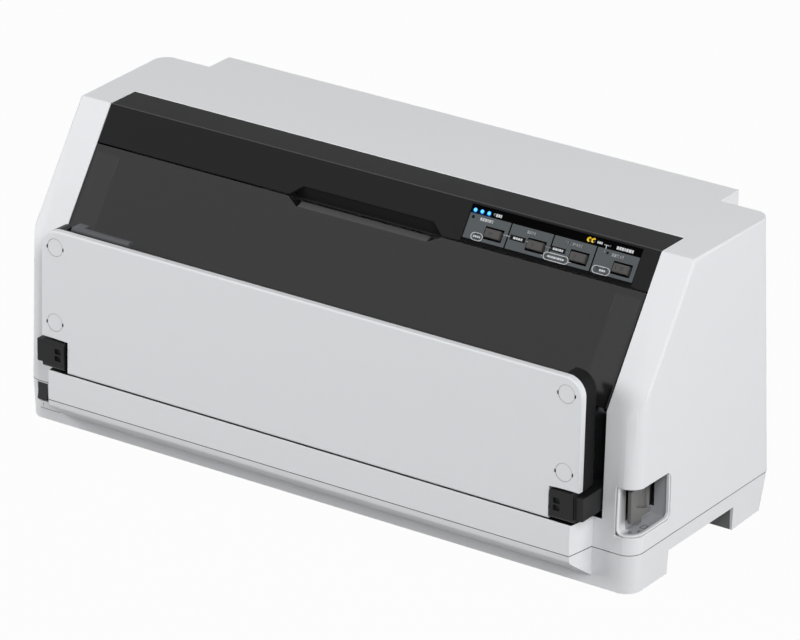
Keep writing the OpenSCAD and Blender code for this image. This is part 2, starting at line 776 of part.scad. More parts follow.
module front_guide_panel() color([0.80, 0.82, 0.83]) on_guide() difference() {
    guide_slab(0, 0, skin_d);
    guide_slab(skin_t, skin_t, skin_d + 1);
    // rounded lower front edge
    difference() {
        span([-guide_half, -1, -1], [guide_half, 2, 2]);
        rod_x(2, -guide_half - 1, guide_half + 1, 2, 2);
    }
    both_sides() {
        rod_x(lug_r + 0.6, notch_x - lug_len - 2, notch_x + 1, hinge_setback, hinge_rise);
        for (z = cap_z) {
            rod_y(cap_r + cap_gap, -1, skin_t + 1, cap_x, z);
            for (s = [-1, 1]) span([cap_x + s*(cap_r + 0.4) - 0.9, -1, z - 2],
                [cap_x + s*(cap_r + 0.4) + 0.9, skin_t + 1, z + 1.2]);
        }
        for (x = rim_slots) span([x - 2, 3, guide_h - skin_t - 1], [x + 2, 4.6, guide_h + 1]);
    }
}

module front_guide_tray() color([0.07, 0.07, 0.08]) on_guide() {
    difference() {
        union() {
            guide_slab(0, skin_d, skin_d + tray_t);
            difference() {
                guide_slab(0, skin_d + 1, skin_d + tray_t + rim_d);
                guide_slab(rim_t, skin_d, skin_d + tray_t + rim_d + 1);
                span([-guide_half + rim_corner, skin_d, -1],
                    [guide_half - rim_corner, skin_d + tray_t + rim_d + 1, guide_h + 1]);
            }
            both_sides() rod_x(lug_r, notch_x - lug_len, notch_x, hinge_setback, hinge_rise);
        }
        both_sides() {
            rod_x(guide_pin_r + run_gap, notch_x - lug_len - 1, notch_x + 1, hinge_setback, hinge_rise);
        }
    }
}

module guide_caps() color([0.80, 0.82, 0.83]) on_guide() both_sides() for (z = cap_z) {
    rod_y(cap_r, 0, skin_t, cap_x, z);
    rod_y(4, skin_t - eps, skin_d, cap_x, z);
}

module edge_guide(top, w) on_guide() {
    y0 = skin_d + tray_t + part_gap;
    y1 = y0 + edge_t + edge_fence_d;
    span([-edge_x, y0, edge_foot], [-edge_x + w, y0 + edge_t, top - edge_bar_r]);
    // fence that the sheet's edge runs along
    span([-edge_x, y0, edge_foot], [-edge_x + edge_t, y1, top - edge_bar_r]);
    // rounded bar along the top and the wide end of the fence
    for (box = [[w, y0 + edge_bar_d], [edge_fence_w, y1]])
        prism_x([[y0, top - edge_bar_h], [y0, top - edge_bar_r], [y0 + 0.3*edge_bar_r, top - 0.3*edge_bar_r],
            [y0 + edge_bar_r, top], [box[1] - edge_bar_r, top],
            [box[1] - 0.3*edge_bar_r, top - 0.3*edge_bar_r], [box[1], top - edge_bar_r],
            [box[1], top - edge_bar_h]], -edge_x, -edge_x + box[0]);
}
module left_edge_guide() color([0.42, 0.43, 0.45]) edge_guide(edge_top, edge_w);
module right_edge_guide() color([0.42, 0.43, 0.45]) mirror([1, 0, 0]) edge_guide(right_edge_top, right_edge_w);

module hinge_bracket() {
    difference() {
        union() {
            difference() {
                span([block_x0, front_y, block_z], [block_x0 + block_w, front_y + block_d, block_top]);
                // rounded upper and lower front edges
                translate([0, front_y, block_top - block_round]) difference() {
                    span([block_x0 - 1, -1, 0], [block_x0 + block_w + 1, block_round, block_round + 1]);
                    rod_x(block_round, block_x0 - 2, block_x0 + block_w + 2, block_round, 0);
                }
                translate([0, front_y, block_z + block_round]) difference() {
                    span([block_x0 - 1, -1, -block_round - 1], [block_x0 + block_w + 1, block_round, 0]);
                    rod_x(block_round, block_x0 - 2, block_x0 + block_w + 2, block_round, 0);
                }
            }
            span([block_x0 + block_w - 1, front_y + 2.6, arm_z0],
                [block_x0 + block_w + arm_w, pillar_foot_y + 10, arm_z1]);
            span([frame_x + frame_t, pillar_foot_y + 4, arm_z0],
                [block_x0 + block_w + arm_w, pillar_foot_y + 30, arm_z1]);
        }
        // pocket with a rib in the block's face
        for (z = [block_z + 8, block_z + 14.6])
            span([block_x0 + 4, front_y - 1, z], [block_x0 + 10.2, front_y + 3, z + 4.8]);
        rod_x(guide_pin_r, block_x0 - 1, block_x0 + 12, hinge_y, hinge_z);
    }
}
module hinge_brackets() color([0.07, 0.07, 0.08]) both_sides() hinge_bracket();

module guide_hinge_pins() color([0.7, 0.7, 0.72]) both_sides()
    rod_x(guide_pin_r, notch_x - lug_len + 1, block_x0 + 12, hinge_y, hinge_z);

// ---------- power switch, release lever ----------

module power_switch() color([0.12, 0.12, 0.13]) translate([switch_x, switch_y, switch_z]) {
    prism_x([[-7.0, 8], [-7.8, 0], [-8.8, -7.7], [-2, -6], [-1.5, 0], [-2, 6]], -switch_w/2, switch_w/2);
    rod_x(3, -switch_w/2, switch_w/2, 0, 0);
    prism_x([[-5, -2], [-5, 2], [0, 2], [0, -2]], -switch_w/2, switch_w/2);
    rod_x(1.5, -switch_w/2 - 2.4, switch_w/2 + 2.4, 0, 0);
}

bezel_x1 = half_w - wall - part_gap;
bezel_y0 = kink_y + wall + part_gap - pillar_lean/2;
module bezel_plan(t) {
    c = corner_r - wall;
    polygon([[recess_x - bezel_t + t, bezel_y0], [bezel_x1 - c, bezel_y0], [bezel_x1, bezel_y0 + c],
        [bezel_x1, recess_y1 + bezel_t - t], [recess_x - bezel_t + t, recess_y1 + bezel_t - t]]);
}

slot_y0 = lever_y - lever_arm_w/2 - 2;
slot_y1 = lever_y + lever_arm_w/2 + (lever_z - recess_z1)*tan(lever_travel) + 2;
module lever_bezel() color([0.60, 0.62, 0.64]) difference() {
    translate([0, 0, recess_z0 - bezel_t]) linear_extrude(height = recess_z1 - recess_z0 + 2*bezel_t)
        bezel_plan(0);
    span([recess_x, bezel_y0 - 1, recess_z0], [bezel_x1 + 1, recess_y1, recess_z1]);
    span([grip_x0 - 0.6, slot_y0, recess_z1 - 1],
        [grip_x0 + lever_arm_t + 1.2, slot_y1, recess_z1 + bezel_t + 1]);
}

module release_lever() color([0.47, 0.48, 0.49]) {
    ax = grip_x0 + 0.4;
    x1 = grip_x0 + grip_t;
    y0 = grip_y - grip_len/2;
    y1 = grip_y + grip_len/2;
    difference() {
        union() {
            rod_x(lever_r, ax - 2, ax + lever_arm_t, lever_y, lever_z);
            prism_x([[lever_y - lever_arm_w/2, lever_z], [lever_y + lever_arm_w/2, lever_z],
                [lever_y + lever_arm_w/2, grip_z1 - 1], [lever_y - lever_arm_w/2, grip_z1 - 1]],
                ax, ax + lever_arm_t);
            // outer face round the hollow for the fingertips, core behind it and rear rib
            prism_x([[y0, grip_z0 + 4.2], [y0 + 9.5, grip_z0 + 2.2], [y0 + 17.5, grip_z0],
                [y0 + 17.5, grip_z0 + 4.2], [y1 - 2, grip_z0 + 4.8], [y1, grip_z0 + 6.6],
                [y1, grip_z0 + 9], [y0 + 22.4, grip_z0 + 10.9], [y0 + grip_edge_d, grip_z0 + 16.2],
                [y0 + grip_edge_d, grip_z1], [y0, grip_z1]], x1 - grip_edge, x1);
            prism_x([[y0 + grip_back, grip_z0 + 6], [y1, grip_z0 + 6.6], [y1, grip_z1],
                [y0 + grip_back, grip_z1]], grip_x0, x1 - grip_edge + 0.3);
            rod_z(rib_r, grip_z0 + 7.5, grip_z1, x1 - rib_r - 0.4, y1 - rib_r);
        }
        rod_x(lever_stud_r + run_gap, ax - 3, ax + lever_arm_t + 1, lever_y, lever_z);
    }
}

// ---------- frame ----------

frame_plan = [[kink_y + 7, floor_z], [kink_y + 7, kink_z - 12], [crease_y - 42, 192], [crease_y - 18, 226],
    [deck_y - 32, 226], [deck_y - 4, 180], [deck_y - 4, floor_z]];

module side_frame() difference() {
    prism_x(frame_plan, frame_x, frame_x + frame_t);
    rod_x(guide_shaft_r + part_gap/3, frame_x - 1, frame_x + frame_t + 1, shaft_y, shaft_z);
    for (y = [feed_y, tractor_y])
        rod_x(bush_r + part_gap/3, frame_x - 1, frame_x + frame_t + 1, y, feed_z);
    rod_x(support_r + part_gap/3, frame_x - 1, frame_x + frame_t + 1, support_y, feed_z);
}

module left_side_frame() color([0.72, 0.73, 0.75]) {
    difference() {
        mirror([1, 0, 0]) side_frame();
        rod_x(motor_shaft_r + 1, -frame_x - frame_t - 1, -frame_x + 1, pinion_y, pinion_z);
    }
    rod_x(shaft_r, gear_x - 2, -frame_x - frame_t, idler_y, feed_z);
}

module right_side_frame() color([0.72, 0.73, 0.75]) {
    side_frame();
    rod_x(lever_stud_r, frame_x + frame_t, grip_x0 + lever_arm_t + 1, lever_y, lever_z);
    // tab and pin of the idler pulley
    span([belt_x - 8, belt_y - 10, idler_tab_z], [frame_x, belt_y + 10, idler_tab_z + idler_tab_t]);
    rod_z(motor_shaft_r, idler_tab_z + idler_tab_t - eps, belt_z + belt_h + 2, belt_x, belt_y);
}

module paper_table() color([0.62, 0.63, 0.65]) difference() {
    union() {
        span([-frame_x, table_y0, paper_z - table_t], [frame_x, table_y1, paper_z]);
        prism_x([[table_y0, paper_z], [table_lip_y, box_top_z + 1.5], [table_lip_y + table_t, box_top_z + 1.5],
            [table_y0 + table_t, paper_z - table_t]], -frame_x, frame_x);
    }
    span([-platen_half - platen_gap, platen_y - platen_w/2 - platen_gap, paper_z - 5],
        [platen_half + platen_gap, platen_y + platen_w/2 + platen_gap, paper_z + 1]);
    for (x = sleeve_x) span([x - sleeve_w/2 - 2, feed_y - feed_r + 1, paper_z - 5],
        [x + sleeve_w/2 + 2, feed_y + feed_r - 1, paper_z + 1]);
}

module platen_bar() color([0.1, 0.1, 0.1]) {
    span([-frame_x, platen_y - platen_w/2, paper_z - 16], [frame_x, platen_y + platen_w/2, paper_z - 2.2]);
    span([-platen_half, platen_y - platen_w/2, paper_z - 2.3],
        [platen_half, platen_y + platen_w/2, paper_z + 0.4]);
}

module guide_shaft() color([0.8, 0.8, 0.82])
    rod_x(guide_shaft_r, -frame_x - frame_t - 2, frame_x + frame_t + 2, shaft_y, shaft_z);

module rear_rail() color([0.72, 0.73, 0.75]) {
    span([-frame_x, rail_y, carriage_z0 - 4], [frame_x, rail_y + rail_t, carriage_z1 + 4]);
    lip_x = carriage_travel + carriage_half + 4;
    span([-lip_x, rail_y - rail_lip, rail_lip_z], [lip_x, rail_y + 0.1, rail_lip_z + rail_t]);
}

// ---------- carriage and head ----------

module carriage() color([0.35, 0.36, 0.38]) difference() {
    union() {
        span([-carriage_half, carriage_y0, carriage_z0], [carriage_half, carriage_y1, carriage_z1]);
        // fingers that grip the belt's front run
        for (y = [belt_y - belt_r - belt_t - pulley_gap - 1.4, belt_y - belt_r + pulley_gap])
            span([-12, y, belt_z - 1], [12, y + 1.4, carriage_z0 + 1]);
    }
    rod_x(bushing_r, -carriage_half - 1, carriage_half + 1, shaft_y, shaft_z);
    span([-carriage_half - 1, rail_y - rail_lip - 0.6, rail_lip_z - 0.4],
        [carriage_half + 1, carriage_y1 + 1, rail_lip_z + rail_t + 0.4]);
    // lightening pocket
    span([-carriage_half + 8, -4, carriage_z0 + 6], [carriage_half - 8, 26, carriage_z1 + 1]);
}

module carriage_bushes() color([0.85, 0.75, 0.4]) both_sides() difference() {
    rod_x(bushing_r, carriage_half - bushing_len, carriage_half, shaft_y, shaft_z);
    rod_x(guide_shaft_r + run_gap, carriage_half - bushing_len - 1, carriage_half + 1, shaft_y, shaft_z);
}

module print_head() color([0.3, 0.3, 0.32]) {
    difference() {
        span([-head_half, head_y0, head_z0], [head_half, carriage_y0, head_z1]);
        for (i = [0:4]) span([-head_half - 1, head_y0 - 1, head_z0 + 8 + i*6.4],
            [head_half + 1, head_y0 + 12, head_z0 + 11.4 + i*6.4]);
    }
    span([-nose_half, platen_y - nose_w/2, nose_z], [nose_half, platen_y + nose_w/2, head_z0 + 1]);
}

module ribbon_cartridge() color([0.08, 0.08, 0.09]) {
    x = cartridge_x;
    difference() {
        span([-x, cartridge_y0, cartridge_z0], [x, cartridge_y1, cartridge_z1]);
        span([-x + cartridge_wall, cartridge_y0 + cartridge_wall, cartridge_z0 + cartridge_wall],
            [x - cartridge_wall, cartridge_y1 - cartridge_wall, cartridge_z1 - cartridge_wall]);
    }
    both_sides() {
        difference() {
            span([x - cartridge_arm, platen_y - 12, ribbon_z + ribbon_t], [x, platen_y + 12, cartridge_z0 + 1]);
            span([x - cartridge_arm + 2, platen_y - 10, ribbon_z + ribbon_t + 2],
                [x - 2, platen_y + 10, cartridge_z0 - 2]);
        }
        span([x - 1, platen_y + 4, cartridge_z0 + 4], [frame_x, platen_y + 24, cartridge_z0 + 10]);
    }
}

module ink_ribbon() color([0.03, 0.03, 0.04])
    span([-cartridge_x, platen_y - ribbon_w/2, ribbon_z], [cartridge_x, platen_y + ribbon_w/2, ribbon_z + ribbon_t]);

// ---------- carriage drive ----------

module carriage_motor() color([0.55, 0.56, 0.58]) difference() {
    union() {
        span([-frame_x, belt_y - motor_r, motor_plate_z],
            [-belt_x + motor_r, belt_y + motor_r, motor_plate_z + motor_plate_t]);
        rod_z(motor_r, motor_plate_z, motor_plate_z + motor_plate_t + motor_h, -belt_x, belt_y);
    }
    rod_z(motor_shaft_r + run_gap, motor_plate_z - 1, motor_plate_z + motor_h - 6, -belt_x, belt_y);
}

module pulley_body(x) {
    z0 = belt_z - pulley_gap - pulley_flange;
    z1 = belt_z + belt_h + pulley_gap + pulley_flange;
    rod_z(belt_r - pulley_gap, z0, z1, x, belt_y);
    for (z = [z0, z1 - pulley_flange]) rod_z(belt_r + belt_t + 0.4, z, z + pulley_flange, x, belt_y);
}

module motor_pulley() color([0.75, 0.75, 0.77]) {
    pulley_body(-belt_x);
    rod_z(motor_shaft_r, belt_z, motor_plate_z + motor_h - 8, -belt_x, belt_y);
}

module idler_pulley() color([0.75, 0.75, 0.77]) difference() {
    pulley_body(belt_x);
    rod_z(motor_shaft_r + run_gap, belt_z - 5, belt_z + belt_h + 5, belt_x, belt_y);
}

module belt_outline(r) {
    square([2*belt_x, 2*r], center = true);
    for (s = [-1, 1]) translate([s*belt_x, 0]) circle(r = r);
}

module timing_belt() color([0.05, 0.05, 0.05])
    translate([0, belt_y, belt_z]) linear_extrude(height = belt_h) difference() {
        belt_outline(belt_r + belt_t);
        belt_outline(belt_r);
    }

// ---------- feed ----------

// toothed wheel drawn flat, with a tooth on the x axis
module gear_outline(teeth) {
    pitch_r = gear_module*teeth/2;
    step = 360/teeth;
    tip_r = pitch_r + 0.86*gear_module;
    root_r = pitch_r - 1.2*gear_module;
    half_pitch = 0.22*PI*gear_module;
    polygon([for (i = [0:teeth - 1], k = [[root_r, -1.45], [pitch_r, -1], [tip_r, -0.45],
        [tip_r, 0.45], [pitch_r, 1], [root_r, 1.45]])
        let (a = i*step + k.y*half_pitch/pitch_r*180/PI) [k.x*cos(a), k.x*sin(a)]]);
}

module gear(teeth, phase, y, z, bore)
    translate([gear_x, y, z]) rotate([90, 0, 90]) rotate([0, 0, phase])
        difference() {
            linear_extrude(height = gear_w) gear_outline(teeth);
            translate([0, 0, -1]) cylinder(r = bore, h = gear_w + 2);
        }

function gap_phase(toward, teeth) = toward - 180/teeth - floor((toward - 180/teeth)*teeth/360)*360/teeth;
function tooth_phase(toward, teeth) = toward - floor(toward*teeth/360)*360/teeth;

module feed_gear() color([0.9, 0.9, 0.86]) gear(feed_teeth, 0, feed_y, feed_z, shaft_r);
module idler_gear() color([0.9, 0.9, 0.86])
    gear(idler_teeth, gap_phase(180, idler_teeth), idler_y, feed_z, shaft_r + run_gap);
module tractor_gear() color([0.9, 0.9, 0.86])
    gear(tractor_teeth, tooth_phase(180, tractor_teeth), tractor_y, feed_z, shaft_r);
module feed_pinion() color([0.9, 0.9, 0.86]) {
    gear(pinion_teeth, tooth_phase(pinion_deg - 180, pinion_teeth), pinion_y, pinion_z, motor_shaft_r - 0.5);
    rod_x(motor_shaft_r, gear_x + eps, -frame_x + feed_motor_len - 10, pinion_y, pinion_z);
}

module feed_motor() color([0.55, 0.56, 0.58]) difference() {
    rod_x(feed_motor_r, -frame_x, -frame_x + feed_motor_len, pinion_y, pinion_z);
    rod_x(motor_shaft_r + run_gap, -frame_x - 1, -frame_x + feed_motor_len - 8, pinion_y, pinion_z);
}

module feed_roller_shaft() color([0.8, 0.8, 0.82])
    rod_x(shaft_r, gear_x - 1, frame_x + frame_t + 3, feed_y, feed_z);

module feed_roller_sleeves() color([0.1, 0.1, 0.1]) for (x = sleeve_x) difference() {
    rod_x(feed_r, x - sleeve_w/2, x + sleeve_w/2, feed_y, feed_z);
    rod_x(shaft_r, x - sleeve_w, x + sleeve_w, feed_y, feed_z);
}

module pinch_carrier() color([0.12, 0.12, 0.13]) difference() {
    union() {
        span([-frame_x, feed_y - 7.5, carrier_z], [frame_x, feed_y + 7.5, carrier_z + carrier_t]);
        for (x = pinch_arm_x) span([x - pinch_arm_t/2, feed_y - 6, pinch_z - 4],
            [x + pinch_arm_t/2, feed_y + 6, carrier_z + 0.1]);
    }
    rod_x(pinch_shaft_r + run_gap, -frame_x + 10, frame_x - 10, feed_y, pinch_z);
}

module pinch_rollers() color([0.15, 0.15, 0.16]) {
    rod_x(pinch_shaft_r, pinch_arm_x[0] - 4, pinch_arm_x[3] + 4, feed_y, pinch_z);
    for (x = sleeve_x) rod_x(pinch_r, x - pinch_sleeve_w/2, x + pinch_sleeve_w/2, feed_y, pinch_z);
}

module shaft_bearings() color([0.85, 0.75, 0.4]) both_sides() for (y = [feed_y, tractor_y]) difference() {
    rod_x(bush_r, frame_x - 1, frame_x + bush_len - 1, y, feed_z);
    rod_x(shaft_r + run_gap, frame_x - 2, frame_x + bush_len, y, feed_z);
}

module tractor_drive_shaft() color([0.8, 0.8, 0.82])
    rod_x(shaft_r, gear_x - 1, frame_x + frame_t + 3, tractor_y, feed_z);

module tractor_support_shaft() color([0.8, 0.8, 0.82])
    rod_x(support_r, -frame_x - frame_t - 1, frame_x + frame_t + 1, support_y, feed_z);

// right-hand tractor, mirrored for the left
module tractor() {
    inner = tractor_x - tractor_w;
    difference() {
        union() {
            span([inner, tractor_y0, tractor_z0], [tractor_x, tractor_y1, tractor_top]);
            // ears of the lid's hinge
            for (y = [tractor_y0, tractor_y1 - 4]) {
                span([tractor_x - 1, y, tractor_z0], [lid_axis_x + 2.5, y + 4, lid_axis_z]);
                rod_y(2.5, y, y + 4, lid_axis_x, lid_axis_z);
            }
        }
        rod_x(shaft_r + run_gap, inner - 1, tractor_x + 8, tractor_y, feed_z);
        rod_x(support_r + run_gap, inner - 1, tractor_x + 8, support_y, feed_z);
        for (y = [tractor_y0, tractor_y1 - 4]) rod_y(lid_pin_r + run_gap, y - 1, y + 5, lid_axis_x, lid_axis_z);
    }
    for (i = [0:2]) translate([tractor_x - tractor_w/2, tractor_y0 + 9 + i*tractor_pin_pitch, tractor_top])
        cylinder(r1 = 1.9, r2 = 1.2, h = 2.2);
}

module tractor_lid() {
    inner = tractor_x - tractor_w;
    difference() {
        union() {
            span([inner, tractor_y0 + 4.5, lid_z], [lid_axis_x, tractor_y1 - 4.5, lid_z + lid_t]);
            rod_y(2.5, tractor_y0 + 4.5, tractor_y1 - 4.5, lid_axis_x, lid_axis_z);
            rod_y(lid_pin_r, tractor_y0, tractor_y1, lid_axis_x, lid_axis_z);
        }
        span([tractor_x - tractor_w/2 - 2.6, tractor_y0 + 6, lid_z - 1],
            [tractor_x - tractor_w/2 + 2.6, tractor_y1 - 8, lid_z + 1.2]);
    }
}

module right_tractor() color([0.2, 0.2, 0.22]) tractor();
module left_tractor() color([0.2, 0.2, 0.22]) mirror([1, 0, 0]) tractor();
module right_tractor_lid() color([0.3, 0.3, 0.32]) tractor_lid();
module left_tractor_lid() color([0.3, 0.3, 0.32]) mirror([1, 0, 0]) tractor_lid();

// ---------- rear cover ----------

module rear_cover() color([0.85, 0.86, 0.88]) on_rear() {
    w = rear_half - part_gap*2;
    foot = rear_open_z0 + rear_slot_h;
    span([-w, -rear_cover_t, foot], [w, 0, rear_pivot_z]);
    rod_x(rear_pivot_d, -w, w, -rear_pivot_d, rear_pivot_z);
    rod_x(cover_pin_r, -w - 6, w + 6, -rear_pivot_d, rear_pivot_z);
    // finger lip and stiffening ribs
    span([-40, -rear_cover_t - 3, foot], [40, -rear_cover_t + 0.1, foot + 2]);
    for (x = [-w + 20:80:w - 10]) span([x - 1, -rear_cover_t - 3, foot + 6],
        [x + 1, -rear_cover_t + 0.1, rear_pivot_z - 3]);
}

// ---------- electronics ----------

post_h = 4.5;
post_r = 3;
post_inset = 8;
pcb_t = 1.6;
board_side_gap = 12;                        // between a board's edge and the side frame
board_front_y = pillar_foot_y + 42;
board_w = 196;
board_back_y = rear_foot_y - 22;
supply_w = 146;
supply_back_y = rear_foot_y - 44;

// a board on its posts, from corner [x, y] to corner [x, y]
module board_on_posts(lo, hi) {
    z = floor_z + post_h;
    span([lo.x, lo.y, z], [hi.x, hi.y, z + pcb_t]);
    for (x = [lo.x + post_inset, hi.x - post_inset], y = [lo.y + post_inset, hi.y - post_inset])
        rod_z(post_r, floor_z, z + eps, x, y);
}

// a component that stands on a board
module component(at, size, h) {
    z = floor_z + post_h + pcb_t;
    span([at.x - size.x/2, at.y - size.y/2, z - 0.1], [at.x + size.x/2, at.y + size.y/2, z + h]);
}

module main_board() color([0.1, 0.35, 0.2]) {
    x0 = frame_x - board_side_gap - board_w;
    y0 = board_front_y;
    chip_h = 3;
    board_on_posts([x0, y0], [x0 + board_w, board_back_y]);
    component([x0 + 30, y0 + 40], [28, 28], chip_h);
    component([x0 + 90, y0 + 50], [22, 22], chip_h);
    component([x0 + 140, y0 + 70], [30, 12], chip_h);
    component([x0 + 40, y0 + 100], [12, 34], chip_h);
    component([x0 + 160, y0 + 20], [20, 14], 4*chip_h);
    for (i = [0:1]) component([x0 + 90 + i*20, y0 + 105], [10, 10], 6*chip_h);
}

socket_back = 11.5;                         // back of a socket's body in front of the seam's foot
socket_face = 9;                            // its face, which stands in the wall's window

module interface_sockets() color([0.25, 0.25, 0.27]) for (s = socket_list) difference() {
    union() {
        span([s.x - s.y/2, rear_foot_y - 36, floor_z + post_h + pcb_t],
            [s.x + s.y/2, rear_foot_y - socket_back, socket_z + s.z]);
        span([s.x - s.y/2, rear_foot_y - socket_back - 1, socket_z],
            [s.x + s.y/2, rear_foot_y - socket_face, socket_z + s.z]);
    }
    span([s.x - s.y/2 + 2, rear_foot_y - 16, socket_z + 2],
        [s.x + s.y/2 - 2, rear_foot_y, socket_z + s.z - 2]);
}

module power_supply() color([0.75, 0.6, 0.3]) {
    x0 = -frame_x + board_side_gap;
    y0 = board_front_y;
    z = floor_z + post_h + pcb_t;
    cap_r_big = 11;
    board_on_posts([x0, y0], [x0 + supply_w, supply_back_y]);
    component([x0 + 98, y0 + 32], [44, 44], 34);
    component([x0 + 78, y0 + 98], [4, 56], 28);
    for (i = [0:1]) rod_z(cap_r_big, z - 0.1, z + 26, x0 + 106, y0 + 74 + i*26);
    component([x0 + 18, y0 + 102], [24, 24], 16);
}

module power_inlet() color([0.08, 0.08, 0.09]) {
    x = inlet_x;
    difference() {
        union() {
            span([x - inlet_w/2, rear_foot_y - 34, floor_z],
                [x + inlet_w/2, rear_foot_y - socket_back, socket_z + inlet_h]);
            span([x - inlet_w/2, rear_foot_y - socket_back - 1, socket_z],
                [x + inlet_w/2, rear_foot_y - socket_face, socket_z + inlet_h]);
        }
        span([x - inlet_w/2 + 3, rear_foot_y - 26, socket_z + 3],
            [x + inlet_w/2 - 3, rear_foot_y, socket_z + inlet_h - 3]);
    }
    for (dx = [-6, 0, 6]) span([x + dx - 1, rear_foot_y - 27, socket_z + 9],
        [x + dx + 1, rear_foot_y - 14, socket_z + 15]);
}

// ---------- the part ----------

lower_case();
upper_case();
control_housing();
control_panel();
panel_lamps();
control_board();
tear_off_button();
line_feed_button();
load_button();
pause_button();
printer_cover();
inner_front_cover();
front_guide_panel();
front_guide_tray();
guide_caps();
left_edge_guide();
right_edge_guide();
hinge_brackets();
guide_hinge_pins();
power_switch();
release_lever();
lever_bezel();
left_side_frame();
right_side_frame();
paper_table();
platen_bar();
guide_shaft();
rear_rail();
carriage();
carriage_bushes();
print_head();
ribbon_cartridge();
ink_ribbon();
carriage_motor();
motor_pulley();
idler_pulley();
timing_belt();
feed_motor();
feed_pinion();
feed_gear();
idler_gear();
tractor_gear();
feed_roller_shaft();
feed_roller_sleeves();
pinch_carrier();
pinch_rollers();
shaft_bearings();
tractor_drive_shaft();
tractor_support_shaft();
left_tractor();
right_tractor();
left_tractor_lid();
right_tractor_lid();
rear_cover();
main_board();
power_supply();
interface_sockets();
power_inlet();
feet();
case_screws();
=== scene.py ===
"""Dresses a wide-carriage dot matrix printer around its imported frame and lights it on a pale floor."""

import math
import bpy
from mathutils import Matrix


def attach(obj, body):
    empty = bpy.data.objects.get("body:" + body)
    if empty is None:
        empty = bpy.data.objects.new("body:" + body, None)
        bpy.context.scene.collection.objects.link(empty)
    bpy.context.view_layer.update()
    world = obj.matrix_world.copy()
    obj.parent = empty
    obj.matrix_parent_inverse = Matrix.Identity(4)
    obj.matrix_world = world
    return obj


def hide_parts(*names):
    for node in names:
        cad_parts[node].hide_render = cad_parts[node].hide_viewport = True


bl_info = {
    "name": "Dot Matrix Printer",
    "version": (1, 0, 0),
    "blender": (4, 5, 0),
    "location": "View3D > Sidebar > Printer",
    "description": "Case, paper guide, control strip, lever corner and mechanism of a dot matrix printer",
    "category": "Object",
}

import bmesh
import bpy
from mathutils import Matrix, Vector

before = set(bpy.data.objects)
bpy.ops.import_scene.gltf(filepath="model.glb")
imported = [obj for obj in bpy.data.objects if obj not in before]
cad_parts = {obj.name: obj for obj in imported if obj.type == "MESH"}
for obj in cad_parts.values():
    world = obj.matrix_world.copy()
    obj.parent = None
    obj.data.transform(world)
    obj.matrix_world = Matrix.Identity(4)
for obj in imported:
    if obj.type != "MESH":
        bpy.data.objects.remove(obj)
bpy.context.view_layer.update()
MM = 0.001

# side view, in millimetres: the crease at the top of the slope, the slope, and the kink at its foot
CREASE_Y, CREASE_Z = -18.5, 277.5
SLOPE_RUN, SLOPE_FALL = 79.6, 116.4
SLOPE_ANGLE = math.atan2(SLOPE_FALL, SLOPE_RUN)
KINK_Y, KINK_Z = CREASE_Y - SLOPE_RUN, CREASE_Z - SLOPE_FALL
PILLAR_FOOT_Y = KINK_Y - 4.4
# half widths of the case and of its front opening, and the seam between the halves of the case
SIDE_X, OPEN_X, SEAM_Z = 318.0, 285.0, 37.0
# front box: its top, its underside and its face
BOX_TOP_Z, UNDER_Z, BOX_FACE_Y = 65.0, 30.3, -130.3
# front guide: its lean, its hinge axis, and the foot of its face from that axis
GUIDE_LEAN = math.radians(1.5)
GUIDE_AXIS = Vector((0.0, -124.3, 77.0))
GUIDE_FOOT = Vector((0.0, -6.0, -10.5))



# ---------- sizes and colours that a user would change ----------


def length(name, text, value, top=0.02):
    """A length property in metres."""
    return bpy.props.FloatProperty(
        name=name, description=text, default=value, min=0.0, max=top, unit="LENGTH"
    )


def tint(name, text, value):
    """A colour property without alpha."""
    return bpy.props.FloatVectorProperty(
        name=name, description=text, default=value, min=0.0, max=1.0, size=3, subtype="COLOR"
    )


class PrinterSizes(bpy.types.PropertyGroup):
    """Rounds and reliefs that dress the frame."""

    case_round: length("Case round", "Rounding of the long edges of the case", 0.0026)
    small_round: length("Small round", "Rounding of the seams and small mouldings", 0.0006)
    guide_round: length("Guide round", "Rounding of the outer edge of the paper guide", 0.0016)
    button_round: length("Button round", "Rounding of the buttons' crowns", 0.0005)
    print_height: length("Print height", "Thickness of the printed marks", 0.00005, 0.001)


class PrinterColours(bpy.types.PropertyGroup):
    """Colours of the mouldings and metals."""

    case: tint("Case", "White mouldings of the case", (0.78, 0.79, 0.81))
    guide: tint("Guide", "White moulding of the paper guide", (0.765, 0.78, 0.80))
    strip: tint("Strip", "Black control strip", (0.020, 0.020, 0.021))
    panel: tint("Panel", "Grey cells of the control panel", (0.085, 0.095, 0.10))
    button: tint("Button", "Button caps", (0.070, 0.068, 0.066))
    smoke: tint("Smoke", "Smoked cover", (0.006, 0.006, 0.0065))
    black: tint("Black", "Black mouldings of the tray, blocks and cartridge", (0.007, 0.007, 0.0075))
    edge_guide: tint("Edge guide", "Grey edge guides", (0.085, 0.088, 0.095))
    lever: tint("Lever", "Release lever", (0.13, 0.128, 0.125))
    # painted shade: the liner's grey stands for its white moulding in the shade of the recess
    liner: tint("Liner", "Liner of the lever recess", (0.42, 0.43, 0.45))
    lamp: tint("Lamp", "Lit lamps", (0.05, 0.35, 1.0))
    amber: tint("Amber", "Amber marks beside the lamps", (0.95, 0.62, 0.02))
    mark: tint("Mark", "Printed marks on the panel", (0.62, 0.64, 0.66))
    floor: tint("Floor", "Floor under the printer", (0.32, 0.32, 0.325))


class StageSettings(bpy.types.PropertyGroup):
    """Surrounding light and camera."""

    sky: bpy.props.FloatProperty(
        name="Sky", description="Strength of the surrounding light", default=0.02, min=0.0, subtype="FACTOR"
    )
    lens: bpy.props.FloatProperty(
        name="Lens", description="Focal length of the camera", default=266.985, min=1.0, unit="CAMERA"
    )


# ---------- finishes ----------


